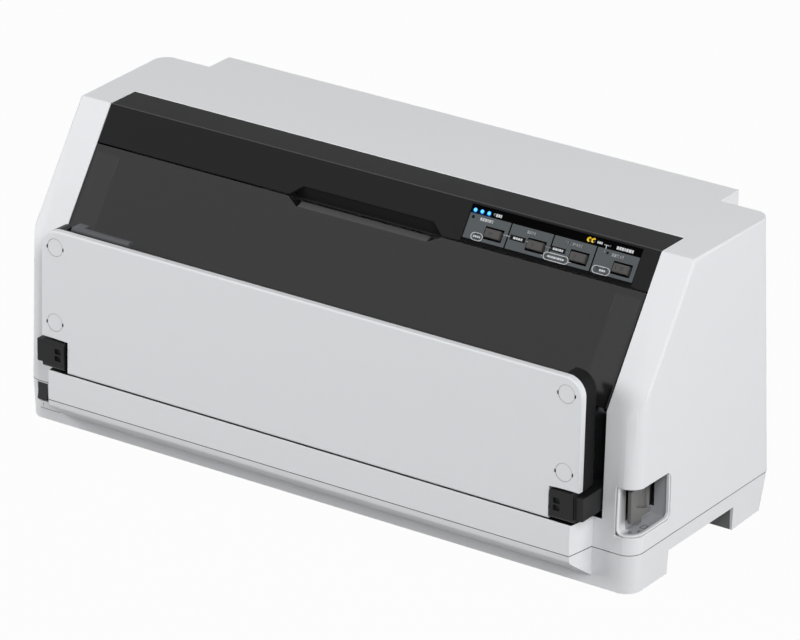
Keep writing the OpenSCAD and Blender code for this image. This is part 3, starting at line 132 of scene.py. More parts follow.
class Wire:
    """A socket that takes part in arithmetic and adds the Math nodes it needs."""

    def __init__(self, finish, socket):
        self.finish = finish
        self.socket = socket

    def maths(self, operation, *values):
        return self.finish.add("ShaderNodeMath", {"operation": operation}, dict(enumerate(values)))

    def __add__(self, other):
        return self.maths("ADD", self, other)

    __radd__ = __add__

    def __mul__(self, other):
        return self.maths("MULTIPLY", self, other)

    __rmul__ = __mul__

    def __sub__(self, other):
        return self.maths("SUBTRACT", self, other)

    def __rsub__(self, other):
        return self.maths("SUBTRACT", other, self)

    def above(self, other):
        return self.maths("GREATER_THAN", self, other)

    def below(self, other):
        return self.maths("LESS_THAN", self, other)

    def size(self):
        return self.maths("ABSOLUTE", self)

    def at_most(self, other):
        return self.maths("MINIMUM", self, other)

    def at_least(self, other):
        return self.maths("MAXIMUM", self, other)

    def axis(self, name):
        return self.finish.add("ShaderNodeSeparateXYZ", {}, {0: self}, name)


class Finish:
    """A material whose nodes are all made by add()."""

    def __init__(self, name, base, roughness, **constants):
        self.material = bpy.data.materials.new(name)
        self.material.use_nodes = True
        self.nodes = self.material.node_tree.nodes
        self.links = self.material.node_tree.links
        self.shader = self.nodes["Principled BSDF"]
        self.material.diffuse_color = (*base, 1.0)
        self.shader.inputs["Base Color"].default_value = (*base, 1.0)
        self.shader.inputs["Roughness"].default_value = roughness
        for socket, value in constants.items():
            self.shader.inputs[socket.replace("_", " ")].default_value = value

    def add(self, kind, settings, inputs, output=0):
        """Makes a node, sets it, then fills its sockets with values or links."""
        node = self.nodes.new(kind)
        for key, value in settings.items():
            setattr(node, key, value)
        for key, value in inputs.items():
            socket = node.inputs[key]
            if isinstance(value, Wire):
                self.links.new(value.socket, socket)
            else:
                socket.default_value = value
        return Wire(self, node.outputs[output])

    def place(self):
        """Object coordinates, in metres."""
        return self.add("ShaderNodeTexCoord", {}, {}, "Object")

    def noise(self, grain, detail, stretch=None):
        """Noise whose features are about grain metres wide."""
        spot = self.place()
        if stretch:
            spot = self.add("ShaderNodeMapping", {}, {"Vector": spot, "Scale": stretch})
        return self.add("ShaderNodeTexNoise", {}, {"Vector": spot, "Scale": 1.0 / grain, "Detail": detail})

    def mix(self, factor, a, b):
        """A colour between a and b."""
        return self.add("ShaderNodeMix", {"data_type": "RGBA"}, {"Factor": factor, 6: a, 7: b}, 2)

    def feed(self, socket, value):
        self.links.new(value.socket, self.shader.inputs[socket])

    def bump(self, height, distance):
        return self.add("ShaderNodeBump", {}, {"Height": height, "Distance": distance, "Strength": 1.0})


def shade(colour, factor):
    """The colour made lighter or darker, with alpha."""
    return tuple(min(1.0, channel * factor) for channel in colour[:3]) + (1.0,)


FINISHES = {}


def finish(name, build):
    """One material per name, made the first time that it is asked for."""
    if name not in FINISHES:
        FINISHES[name] = build()
    return FINISHES[name]


GRAIN, GRAIN_DEPTH = 0.0009, 0.00003


def moulded(name, colour, roughness=0.45, cloud=0.035, painted_shade_and_colour=None, **constants):
    """Injection-moulded plastic: fine spark-eroded grain and a slightly uneven, clouded colour.

    Painted patches, most of them painted shade, come from a function that takes the place on the object and
    gives pairs: a mask, and the colour painted there.
    """

    def build():
        f = Finish(name, colour, roughness, **constants)
        broad = f.noise(0.11, 3.0)
        fine = f.noise(GRAIN, 3.0)
        body = f.mix(broad * (2 * cloud), shade(colour, 1.0 - cloud), shade(colour, 1.0 + cloud))
        if painted_shade_and_colour:
            for where, other in painted_shade_and_colour(f.place()):
                body = f.mix(where, body, other)
        f.feed("Base Color", body)
        f.feed("Roughness", fine * 0.10 + broad * 0.08 + (roughness - 0.09))
        f.feed("Normal", f.bump(fine, GRAIN_DEPTH))
        return f.material

    return finish(name, build)


def metal(name, colour, roughness, stretch=None, grain=0.0012):
    """Ground or rolled metal, its scratches drawn out along one axis."""

    def build():
        f = Finish(name, colour, roughness, Metallic=1.0)
        lines = f.noise(grain, 4.0, stretch)
        stain = f.noise(0.04, 3.0)
        f.feed("Base Color", f.mix(stain, shade(colour, 0.86), shade(colour, 1.08)))
        f.feed("Roughness", lines * 0.22 + stain * 0.10 + (roughness - 0.14))
        f.feed("Normal", f.bump(lines, 0.00002))
        return f.material

    return finish(name, build)


def rubber(name, colour, roughness=0.75):
    """Ground rubber with a dusty bloom."""

    def build():
        f = Finish(name, colour, roughness, Specular_IOR_Level=0.3)
        bloom = f.noise(0.02, 4.0)
        pores = f.noise(0.0005, 2.0)
        f.feed("Base Color", f.mix(bloom, shade(colour, 0.8), shade(colour, 1.6)))
        f.feed("Roughness", pores * 0.15 + (roughness - 0.05))
        f.feed("Normal", f.bump(pores, 0.00006))
        return f.material

    return finish(name, build)


def colours():
    return bpy.context.scene.printer_colours


def sizes():
    return bpy.context.scene.printer_sizes


def stage_settings():
    return bpy.context.scene.printer_stage


def white_plastic(name="case_moulding", painted_shade_and_colour=None):
    return moulded(name, tuple(colours().case), 0.42, cloud=0.012, painted_shade_and_colour=painted_shade_and_colour)


def guide_plastic():
    return moulded("guide_moulding", tuple(colours().guide), 0.40, cloud=0.012)


def strip_plastic():
    return moulded("strip_moulding", tuple(colours().strip), 0.45, cloud=0.08, Specular_IOR_Level=0.04)


def black_plastic():
    return moulded("black_moulding", tuple(colours().black), 0.42, cloud=0.12, Specular_IOR_Level=0.10)


def panel_plastic():
    return moulded("panel_moulding", tuple(colours().panel), 0.5, Specular_IOR_Level=0.2)


def edge_guide_plastic():
    return moulded("edge_guide_moulding", tuple(colours().edge_guide), 0.45, Specular_IOR_Level=0.35)


def light_print():
    return moulded("print_light", tuple(colours().mark), 0.6, Specular_IOR_Level=0.2)


# dark print, also used as painted shade for the slots beside the guide's caps
def dark_print_and_shade():
    return moulded("print_and_shade_dark", (0.006, 0.006, 0.006), 0.6, Specular_IOR_Level=0.1)


def circuit_board():
    return moulded("board_mask", (0.02, 0.11, 0.05), 0.35)


def steel():
    return metal("ground_shaft_steel", (0.62, 0.62, 0.64), 0.26, (0.03, 1.0, 1.0))


def sheet_steel():
    return metal("zinc_sheet", (0.52, 0.53, 0.55), 0.42, (1.0, 1.0, 0.1), 0.002)


# ---------- modelling ----------


MERGE_DISTANCE, FLAT_ANGLE = 0.00001, math.radians(0.6)
# rounds that no property holds, in metres: rolled foot, black blocks, small black parts and round caps
ROLL_ROUND, BLOCK_ROUND, FINE_ROUND, CAP_ROUND = 0.0018, 0.0007, 0.0004, 0.00035
# the least angle of an edge that is eased, in degrees
EASED = 35.0


def copy_of(node):
    """The merged mesh of a CAD node, its flat faces joined."""
    bm = bmesh.new()
    bm.from_mesh(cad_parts[node].data)
    bmesh.ops.remove_doubles(bm, verts=bm.verts, dist=MERGE_DISTANCE)
    bmesh.ops.dissolve_limit(
        bm, angle_limit=FLAT_ANGLE, verts=bm.verts, edges=bm.edges, use_dissolve_boundaries=False
    )
    bmesh.ops.recalc_face_normals(bm, faces=bm.faces)
    return bm


def ends(edge):
    """The two ends of an edge, in millimetres."""
    return [v.co / MM for v in edge.verts]


def convex(edge, least=25.0):
    """True for a sharp edge between two faces."""
    return len(edge.link_faces) == 2 and edge.calc_face_angle(0.0) > math.radians(least)


def round_off(bm, chosen, width, segments=3, least=25.0):
    """Bevels the sharp edges that chosen picks by their two ends."""
    edges = [e for e in bm.edges if convex(e, least) and chosen(*ends(e))]
    if not edges:
        raise RuntimeError("no edge to round")
    bmesh.ops.bevel(
        bm, geom=edges, offset=width, offset_type="OFFSET", segments=segments, profile=0.5,
        affect="EDGES", clamp_overlap=False, material=-1,
    )


def piece(bm, name, body, material, replaced=(), sharp=32.0, weighted=True):
    """Makes the finished object and hangs it on its body."""
    mesh = bpy.data.meshes.new(name)
    bm.to_mesh(mesh)
    bm.free()
    obj = bpy.data.objects.new(name, mesh)
    bpy.context.scene.collection.objects.link(obj)
    mesh.materials.append(material)
    mesh.shade_smooth()
    mesh.set_sharp_from_angle(angle=math.radians(sharp))
    if weighted:
        normals = obj.modifiers.new("face_normals", "WEIGHTED_NORMAL")
        normals.keep_sharp = True
    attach(obj, body)
    if replaced:
        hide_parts(*replaced)


def softened(node, name, body, material, width, segments=2, least=30.0, shortest=1.2):
    """A CAD node whose sharp edges over the shortest length are eased, which stands for it."""
    bm = copy_of(node)
    round_off(bm, lambda a, b: (a - b).length > shortest, width, segments, least)
    piece(bm, name, body, material, (node,))


def repaint(nodes, material):
    """Gives CAD nodes their finish."""
    for node in nodes:
        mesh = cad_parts[node].data
        mesh.materials.clear()
        mesh.materials.append(material)


def box_into(bm, lo, hi):
    """A block between two corners, in millimetres."""
    lo, hi = Vector(lo), Vector(hi)
    place = Matrix.Translation((lo + hi) / 2 * MM) @ Matrix.Diagonal(((hi - lo) * MM).to_4d())
    return bmesh.ops.create_cube(bm, size=1.0, matrix=place)["verts"]


def rod_into(bm, radius, start, end, segments):
    """A round bar between two points, in millimetres."""
    start, end = Vector(start), Vector(end)
    along = end - start
    turn = along.to_track_quat("Z", "Y").to_matrix().to_4x4()
    place = Matrix.Translation((start + end) / 2 * MM) @ turn
    bmesh.ops.create_cone(
        bm, cap_ends=True, segments=segments, radius1=radius * MM, radius2=radius * MM,
        depth=along.length * MM, matrix=place,
    )


def slope_matrix():
    """Takes the slope's own frame, x across, y up the slope, z outwards, to the world."""
    return Matrix.Translation((0, CREASE_Y * MM, CREASE_Z * MM)) @ Matrix.Rotation(SLOPE_ANGLE, 4, "X")


def guide_matrix():
    """Takes the guide's own frame, y back from its face, z up from its foot, to the world."""
    lean = Matrix.Rotation(-GUIDE_LEAN, 4, "X")
    return Matrix.Translation(GUIDE_AXIS * MM) @ lean @ Matrix.Translation(GUIDE_FOOT * MM)


class Operation(bpy.types.Operator):
    """Shared by the operators of the add-on."""

    bl_options = {"REGISTER", "UNDO"}


# ---------- case ----------


def front_wall_y(z):
    """The pillars' front face at a height, both in millimetres."""
    return PILLAR_FOOT_Y + (KINK_Y - PILLAR_FOOT_Y) * (z - SEAM_Z) / (KINK_Z - SEAM_Z)


SEAM_SHADE = (0.09, 0.09, 0.092, 1.0)
SEAM_HALF = 0.35
# painted shade for the walls of the front opening and for the top of the box under the guide
PAINTED_OPENING_SHADE = (0.006, 0.006, 0.006, 1.0)
# hand holds in the sides of the lower case, and the white margin at their mouth
HOLD_START, HOLD_LENGTH = PILLAR_FOOT_Y + 56.0, 104.0
HOLD_HEIGHT, HOLD_DEPTH, HOLD_MARGIN = 23.0, 30.0, 4.0
# painted shade in the pockets of the hand holds
HOLD_SHADE = (0.12, 0.12, 0.124, 1.0)
# rear corners of the lower case: middle and radius of their round, and the top of the fin at their foot
REAR_CORNER, CORNER_RADIUS, FIN_TOP = Vector((302.13, 98.43)), 13.95, 3.0
# painted shade of a groove and a tick beside the power switch: x0, x1, z0, z1
SWITCH_MARKS = ((-303.0, -281.0, 10.8, 11.4), (-300.4, -299.8, 13.3, 16.4))


def opening_walls(spot):
    """Painted shade: the walls of the front opening, behind the slope, are painted black, as dark as the
    frame inside it.
    """
    out, along, up = spot.axis("X").size(), spot.axis("Y"), spot.axis("Z")
    ahead, height = along - CREASE_Y * MM, up - CREASE_Z * MM
    depth = ahead * math.sin(SLOPE_ANGLE) - height * math.cos(SLOPE_ANGLE)
    inside = out.below((OPEN_X + 0.4) * MM) * depth.above(0.8 * MM) * along.below((CREASE_Y - 2) * MM)
    high = up.above((BOX_TOP_Z + 0.6) * MM)
    # painted shade: the top of the box is painted black behind its bright front lip, for the dark gap under
    # the guide's foot
    ledge = up.above((BOX_TOP_Z - 0.4) * MM) * along.above((BOX_FACE_Y + 1.6) * MM)
    seam = up.below((SEAM_Z + SEAM_HALF) * MM)
    return ((inside * high.at_least(ledge), PAINTED_OPENING_SHADE), (seam, SEAM_SHADE))


def under_seam(spot):
    """The shadow gap along the top of the lower case, and painted shade in the pockets of its hand holds.
    """
    out, along, up = spot.axis("X").size(), spot.axis("Y"), spot.axis("Z")
    seam = up.above((SEAM_Z - SEAM_HALF) * MM)
    across = out.above((SIDE_X - HOLD_DEPTH - 1) * MM) * out.below((SIDE_X - HOLD_MARGIN) * MM)
    end = HOLD_START + HOLD_LENGTH
    within = along.above((HOLD_START - 0.5) * MM) * along.below((end + 0.5) * MM)
    return ((seam, SEAM_SHADE), (across * within * up.below((HOLD_HEIGHT + 0.4) * MM), HOLD_SHADE))


def draw_in_fins(bm):
    """Draws in, to the corners' round, the thin fin at the foot of the solid's rear corners."""
    for vert in bm.verts:
        x, y, z = vert.co / MM
        out = Vector((abs(x), y)) - REAR_CORNER
        if z < FIN_TOP and out.x > 0 and out.y > 0 and out.length > CORNER_RADIUS:
            place = REAR_CORNER + out * (CORNER_RADIUS / out.length)
            vert.co = Vector((math.copysign(place.x, x), place.y, z)) * MM


class PRINTER_OT_upper_case(Operation):
    """White upper case with rounded long edges"""

    bl_idname = "printer.upper_case"
    bl_label = "Upper Case"

    def execute(self, context):
        bm = copy_of("upper_case")

        def outer(a, b):
            side = all(abs(p.x) > SIDE_X - 0.4 for p in (a, b))
            return side and min(a.z, b.z) > KINK_Z - 20 and (a - b).length > 4

        def seen(a, b):
            high = min(a.z, b.z) > SEAM_Z - 0.5
            inside = all(abs(p.x) < OPEN_X - 2 and p.z > BOX_TOP_Z + 5 for p in (a, b))
            return high and not inside and (a - b).length > 6

        round_off(bm, outer, sizes().case_round, 4, 20.0)
        round_off(bm, seen, sizes().small_round, 2, 40.0)
        white = white_plastic("upper_case_moulding", opening_walls)
        piece(bm, "upper_case_moulding", "root", white, ("upper_case",), 26.0)
        return {"FINISHED"}


class PRINTER_OT_lower_case(Operation):
    """White lower case, its front edge rolled under"""

    bl_idname = "printer.lower_case"
    bl_label = "Lower Case"

    def execute(self, context):
        bm = copy_of("lower_case")

        def rolled(a, b):
            front = all(abs(p.z - UNDER_Z) < 1.5 and p.y < BOX_FACE_Y + 6 for p in (a, b))
            return front and (a - b).length > 20

        def seen(a, b):
            low_front = all(p.y < BOX_FACE_Y + 40 for p in (a, b)) and (a - b).length > 10
            return low_front and max(a.z, b.z) < UNDER_Z - 4

        draw_in_fins(bm)
        round_off(bm, rolled, ROLL_ROUND, 4, 20.0)
        round_off(bm, seen, sizes().small_round, 2, 30.0)
        white = white_plastic("lower_case_moulding", under_seam)
        piece(bm, "lower_case_moulding", "root", white, ("lower_case",), 20.0)

        y = PILLAR_FOOT_Y + 0.5
        bm = bmesh.new()
        for x0, x1, z0, z1 in SWITCH_MARKS:
            box_into(bm, (x0, y - 0.15, z0), (x1, y + 0.4, z1))
        piece(bm, "switch_marks", "root", moulded("groove_shade", (0.25, 0.25, 0.26), 0.6))
        return {"FINISHED"}


# ---------- control strip ----------

# on the slope, in millimetres: x runs across, s down from the crease, n outwards
BUTTON_X = (126.7, 169.3, 211.9, 254.5)
CELL_X = (97.8, 140.4, 183.0, 225.6, 268.2)
CELL_TOP, CELL_FOOT = 10.2, 32.3
# window round a button: half its width, its top and its foot
WINDOW_X, WINDOW_TOP, WINDOW_FOOT = 9.3, 18.1, 29.3
PAD_N, BAND_N, BUTTON_N = -0.5, -0.8, 2.3
SUNK = 0.3
# lit lamps: the first one's x, their pitch, their s, and how far they light the band
LAMP_X, LAMP_PITCH, LAMP_S, GLOW_REACH = 102.2, 6.9, 7.1, 3.2
# the lamps on this side of LIT_X and above LIT_Z are lit
LIT_X, LIT_Z = 119.0, 269.5
LAMP_BAND = (98.4, 123.0, 2.9, 10.0)
CREASE_LINE_X, CREASE_LINE_RADIUS = 284.6, 0.55
# bars with round ends: x and width; a dark field lies within their border
PILLS = ((111.9, 11.8), (191.2, 25.0), (236.0, 17.4))
PILL_S, PILL_HEIGHT, PILL_BORDER = 29.0, 7.0, 0.6
# lines between captions and buttons: x0, x1, s for those across and x, s0, s1 for those down
LINE_HALF = 0.25
LINES_ACROSS = (
    (135.8, 142.7, 21.6), (158.0, 160.6, 21.8), (178.0, 183.6, 21.8), (198.2, 202.6, 21.8),
    (176.4, 179.0, 29.6), (203.4, 206.4, 29.4), (231.0, 236.2, 7.3),
)
LINES_DOWN = ((138.4, 21.6, 25.2), (181.6, 21.8, 25.4), (233.65, 7.3, 13.6))
# rows of plain ticks: x, s, the ticks' widths, their height and their n
TICK_GAP = 0.5
CAPTIONS = (
    (124.6, 7.1, (1.6, 2.2, 1.8, 1.2), 2.6, BAND_N),
    (226.6, 6.7, (1.2, 1.6, 1.2), 2.0, BAND_N),
    (251.6, 7.0, (2.0, 1.8, 2.2, 1.2, 2.0, 2.6, 1.6), 2.7, BAND_N),
    (116.2, 13.6, (2.0, 1.6, 2.2, 1.0, 2.4, 1.2), 2.7, PAD_N),
    (161.4, 13.8, (1.4, 1.4, 0.7, 1.4, 1.2), 2.7, PAD_N),
    (203.6, 13.8, (1.4, 2.0, 1.8, 2.2, 0.7, 2.0, 1.6, 1.4), 2.7, PAD_N),
    (247.0, 13.8, (2.0, 1.8, 2.4, 1.8, 1.6), 2.7, PAD_N),
    (150.6, 21.8, (2.2, 1.6, 2.0, 1.6), 1.9, PAD_N + 0.1),
    (190.8, 21.8, (1.6, 2.0, 1.2, 1.8, 1.4), 1.9, PAD_N + 0.1),
)
PILL_CAPTIONS = (
    (111.9, (1.2, 1.6, 1.6, 1.0)),
    (191.2, (1.8, 1.2, 1.6, 2.0, 0.9, 2.2, 1.4, 1.8)),
    (237.4, (1.6, 1.8, 1.4)),
)
# dark bars behind captions, as x0, x1, s0, s1, and dark spots, as x, s, radius
LABEL_BARS = ((142.8, 158.3, 19.4, 24.0), (183.4, 198.2, 19.5, 24.0))
LABEL_SPOTS = ((102.4, 13.3, 1.5), (236.8, 13.4, 1.2))
# two amber marks, each of two discs with a dark centre
AMBER_X, AMBER_CENTRE_X = (215.5, 219.8), (217.1, 221.1)
# ledge under the panel, and the s of its ribs
LEDGE_X, LEDGE_TOP, LEDGE_FOOT, RIBS_S = (97.5, 268.5), 32.7, 36.2, (33.5, 34.6, 35.6)
# each button's node, and the strokes on it as across, half height and lean
BUTTONS = (
    ("tear_off_button", ((-2.6, 1.3, 0), (-0.6, 1.1, 0))),
    ("line_feed_button", ((-2.0, 1.6, -0.6),)),
    ("load_button", ((-2.2, 1.6, 0.7),)),
    ("pause_button", ((-4.6, 1.8, 0), (0.2, 1.8, 0), (2.2, 1.8, 0))),
)
STROKE_S, STROKE_HALF = 23.7, 0.22


def plate(bm, x0, x1, s0, s1, n, thick=None):
    """A thin plate on the slope, between x0 and x1 and between s0 and s1 down the slope."""
    thick = thick or sizes().print_height / MM
    return box_into(bm, (x0, -s1, n - SUNK), (x1, -s0, n + thick))


def disc(bm, x, s, radius, n, thick=None):
    """A thin disc on the slope."""
    thick = thick or sizes().print_height / MM
    rod_into(bm, radius, (x, -s, n - SUNK), (x, -s, n + thick), 40)


def pill(bm, x, s, width, height, n, thick):
    """A bar with round ends on the slope."""
    half = (width - height) / 2
    plate(bm, x - half, x + half, s - height / 2, s + height / 2, n, thick)
    for end in (-half, half):
        disc(bm, x + end, s, height / 2, n, thick)


def caption(bm, x, s, widths, height, n):
    """A row of plain ticks that takes the place of a printed caption."""
    start = x - (sum(widths) + TICK_GAP * (len(widths) - 1)) / 2
    for width in widths:
        plate(bm, start, start + width, s - height / 2, s + height / 2, n)
        start += width + TICK_GAP


def on_slope(bm, name, material, body="root"):
    """Turns a piece that was drawn on the slope into place."""
    bmesh.ops.transform(bm, matrix=slope_matrix(), verts=bm.verts)
    piece(bm, name, body, material, weighted=False)


def lamp_lens():
    """Three lit blue lamps; the small ones are dark."""

    def build():
        blue = (*colours().lamp, 1.0)
        f = Finish("lamp_lens", (0.03, 0.03, 0.032), 0.25, Emission_Strength=1.6)
        spot = f.place()
        lit = spot.axis("X").below(LIT_X * MM) * spot.axis("Z").above(LIT_Z * MM)
        f.feed("Base Color", f.mix(lit, (0.03, 0.03, 0.032, 1.0), blue))
        f.feed("Emission Color", f.mix(lit, (0.0, 0.0, 0.0, 1.0), blue))
        return f.material

    return finish("lamp_lens", build)


def lamp_glow():
    """Painted glow: blue light spilled on the band round the lit lamps, painted as emission."""

    def build():
        matt = {"Specular_IOR_Level": 0.02, "Emission_Strength": 0.8}
        f = Finish("lamp_glow", (0.0015, 0.0015, 0.002), 0.8, **matt)
        spot = f.place()
        nearest = None
        for i in range(3):
            across = spot.axis("X") - (LAMP_X + LAMP_PITCH * i) * MM
            along = spot.axis("Y") - (CREASE_Y - LAMP_S * math.cos(SLOPE_ANGLE)) * MM
            apart = across * across + along * along * (1 / math.cos(SLOPE_ANGLE) ** 2)
            nearest = apart if nearest is None else nearest.at_most(apart)
        glow = (1.0 - nearest * (1 / (GLOW_REACH * MM) ** 2)).at_least(0.0)
        f.feed("Emission Color", f.mix(glow * glow, (0.0, 0.0, 0.0, 1.0), (0.0, 0.10, 0.42, 1.0)))
        return f.material

    return finish("lamp_glow", build)


def make_cells():
    """The four grey cells, each with a window for its button, and the lit band over them."""
    cells = bmesh.new()
    for left, right, middle in zip(CELL_X, CELL_X[1:], BUTTON_X):
        near, far = middle - WINDOW_X, middle + WINDOW_X
        plate(cells, left + 0.9, near, CELL_TOP, CELL_FOOT, PAD_N)
        plate(cells, far, right - 0.5, CELL_TOP, CELL_FOOT, PAD_N)
        plate(cells, near, far, CELL_TOP, WINDOW_TOP, PAD_N)
        plate(cells, near, far, WINDOW_FOOT, CELL_FOOT, PAD_N)
    on_slope(cells, "panel_cells", panel_plastic())
    band = bmesh.new()
    plate(band, *LAMP_BAND, BAND_N)
    on_slope(band, "lamp_band", lamp_glow())


def print_panel():
    """Bars, lines and rows of ticks on the cells and on the band."""
    light = bmesh.new()
    for x, width in PILLS:
        pill(light, x, PILL_S, width, PILL_HEIGHT, PAD_N, 0.08)
    for x0, x1, s in LINES_ACROSS:
        plate(light, x0, x1, s - LINE_HALF, s + LINE_HALF, PAD_N if s > CELL_TOP else BAND_N)
    for x, s0, s1 in LINES_DOWN:
        plate(light, x - LINE_HALF, x + LINE_HALF, s0, s1, PAD_N)
    for row in CAPTIONS:
        caption(light, *row)
    on_slope(light, "panel_marks", light_print())

    fields = bmesh.new()
    for x, width in PILLS:
        pill(fields, x, PILL_S, width - 2 * PILL_BORDER, PILL_HEIGHT - 2 * PILL_BORDER, PAD_N, 0.12)
    on_slope(fields, "pill_fields", panel_plastic())
    small = bmesh.new()
    for x, widths in PILL_CAPTIONS:
        caption(small, x, PILL_S, widths, 1.7, PAD_N + 0.14)
    on_slope(small, "pill_marks", light_print())


def make_ledge():
    """Black ledge with fine ribs under the panel."""
    ledge, ribs = bmesh.new(), bmesh.new()
    plate(ledge, *LEDGE_X, LEDGE_TOP, LEDGE_FOOT, 0.0)
    for s in RIBS_S:
        plate(ribs, *LEDGE_X, s, s + 0.3, 0.0, 0.12)
    black = moulded("ledge_moulding", (0.002, 0.002, 0.002), 0.8, Specular_IOR_Level=0.02)
    on_slope(ledge, "panel_ledge", black)
    on_slope(ribs, "ledge_ribs", strip_plastic())


def print_labels():
    """Dark bars and spots, and the amber marks."""
    dark, amber, centres = bmesh.new(), bmesh.new(), bmesh.new()
    for bar in LABEL_BARS:
        plate(dark, *bar, PAD_N, 0.08)
    for spot in LABEL_SPOTS:
        disc(dark, *spot, PAD_N, 0.08)
    for x in AMBER_X:
        disc(amber, x, 6.4, 1.9, BAND_N, 0.05)
        disc(amber, x + 0.5, 5.4, 1.4, BAND_N, 0.05)
    for x in AMBER_CENTRE_X:
        disc(centres, x - 0.2, 6.6, 1.3, BAND_N, 0.09)
    on_slope(dark, "label_bars", dark_print_and_shade())
    on_slope(amber, "amber_marks", moulded("print_amber", tuple(colours().amber), 0.5))
    on_slope(centres, "amber_centres", dark_print_and_shade())


def make_buttons():
    """The four buttons, each with its plain strokes."""
    plastic = moulded("button_moulding", tuple(colours().button), 0.45, Specular_IOR_Level=0.3)
    for (node, strokes), x in zip(BUTTONS, BUTTON_X):
        softened(node, node + "_cap", node, plastic, sizes().button_round, 3)
        bm = bmesh.new()
        for across, half, lean in strokes:
            left, right = x + across - STROKE_HALF, x + across + STROKE_HALF
            for vert in plate(bm, left, right, STROKE_S - half, STROKE_S + half, BUTTON_N, 0.03):
                vert.co.x += 0.5 * lean * (vert.co.y + STROKE_S * MM) / half
        on_slope(bm, node + "_mark", dark_print_and_shade(), node)


class PRINTER_OT_control_strip(Operation):
    """Black strip, control panel, lamps and buttons"""

    bl_idname = "printer.control_strip"
    bl_label = "Control Strip"

    def execute(self, context):
        softened("control_housing", "strip_moulding", "root", strip_plastic(), sizes().small_round, 2, 25.0)
        black = moulded("panel_frame", (0.0015, 0.0015, 0.0015), 0.8, Specular_IOR_Level=0.02)
        repaint(["control_panel"], black)
        repaint(["panel_lamps"], lamp_lens())
        repaint(["control_board"], circuit_board())
        # painted highlight: a lighter line along the crease
        bm = bmesh.new()
        start, end = ((x, -0.25, -0.42) for x in (-CREASE_LINE_X, CREASE_LINE_X))
        rod_into(bm, CREASE_LINE_RADIUS, start, end, 12)
        shine = moulded("painted_crease_highlight", (0.055, 0.056, 0.058), 0.4, Specular_IOR_Level=0.2)
        on_slope(bm, "crease_highlight", shine)
        make_cells()
        print_panel()
        make_ledge()
        print_labels()
        make_buttons()
        return {"FINISHED"}


# ---------- covers ----------


def smoked():
    """Smoked cover: glossy and dark, with painted light in the faint shapes of the parts behind it."""

    def build():
        tone = tuple(colours().smoke)
        f = Finish("smoked_moulding", tone, 0.16)
        spot = f.place()
        ahead, height = spot.axis("Y") - CREASE_Y * MM, spot.axis("Z") - CREASE_Z * MM
        down = 0.0 - (ahead * math.cos(SLOPE_ANGLE) + height * math.sin(SLOPE_ANGLE))
        depth = ahead * math.sin(SLOPE_ANGLE) - height * math.cos(SLOPE_ANGLE)
        side = spot.axis("X").size()

        def band(wire, low, high):
            return wire.above(low * MM) * wire.below(high * MM)

        # frame ends, the lines beside them, and ribs: millimetres from the middle and from the crease
        blocks = band(side, 257, 281) * band(down, 44, 140)
        lines = (band(side, 257, 257.9) + band(side, 280.2, 281.1)) * band(down, 45, 62)
        ribs = band(side, 195, 195.8) * band(down, 100, 140)
        lip = depth.above(0.35 * MM) * band(down, 37.0, 45.2) * side.below(67.2 * MM)
        faint = blocks * 0.14 + lines * 0.2 + ribs * 0.12
        body = f.mix(faint, shade(tone, 1.0), (0.05, 0.05, 0.052, 1.0))
        f.feed("Base Color", f.mix(lip, body, (0.045, 0.045, 0.046, 1.0)))
        f.feed("Roughness", f.noise(0.03, 3.0) * 0.06 + lip * 0.25 + 0.13)
        return f.material

    return finish("smoked_moulding", build)


class PRINTER_OT_covers(Operation):
    """Smoked cover, inner cover and rear cover"""

    bl_idname = "printer.covers"
    bl_label = "Covers"

    def execute(self, context):
        small = sizes().small_round
        softened("printer_cover", "smoked_cover", "printer_cover", smoked(), small, 2, 30.0)
        repaint(["inner_front_cover"], black_plastic())
        softened("rear_cover", "rear_cover_moulding", "rear_cover", white_plastic(), small, 2, 40.0)
        return {"FINISHED"}


# ---------- front guide ----------


# the four round caps, in the guide's own frame, and the ring and the two slots at each
CAP_X, CAP_Z = 264.5, (45.3, 115.6)
RING_RADIUS, RING_WIDTH, RING_PROUD, SLOT_OUT, SLOT_HALF = 8.3, 0.32, 0.06, 8.4, 0.55
CAP_CLEAR = 11.5


def cap_places():
    """The middle of each cap, x and z, in millimetres."""
    return [(side * CAP_X, z) for side in (-1, 1) for z in CAP_Z]


def on_guide(bm, name, material):
    """Turns a piece that was drawn on the closed guide into place."""
    bmesh.ops.transform(bm, matrix=guide_matrix(), verts=bm.verts)
    piece(bm, name, "front_guide", material, weighted=False)


def ring_caps():
    """Painted shade: a thin grey ring round each cap, for the gap round it, and a dark slot on either side
    of it, for its notches.
    """
    rings, slots = bmesh.new(), bmesh.new()
    for x, z in cap_places():
        place = Matrix.Translation(Vector((x, 0.0, z)) * MM) @ Matrix.Rotation(math.pi / 2, 4, "X")
        made = bmesh.ops.create_circle(
            rings, cap_ends=True, segments=48, radius=RING_RADIUS * MM, matrix=place
        )
        faces = list({face for vert in made["verts"] for face in vert.link_faces})
        bmesh.ops.inset_region(rings, faces=faces, thickness=RING_WIDTH * MM, use_boundary=True)
        for middle in (x - SLOT_OUT, x + SLOT_OUT):
            low, high = (middle - SLOT_HALF, -RING_PROUD, z - 1.9), (middle + SLOT_HALF, 0.3, z + 1.1)
            box_into(slots, low, high)
    hubs = [face for face in rings.faces if len(face.verts) > 4]
    bmesh.ops.delete(rings, geom=hubs, context="FACES_ONLY")
    bmesh.ops.translate(rings, verts=rings.verts, vec=(0.0, -RING_PROUD * MM, 0.0))
    on_guide(rings, "cap_rings", moulded("ring_shade", (0.34, 0.35, 0.36), 0.6))
    on_guide(slots, "cap_slots", dark_print_and_shade())


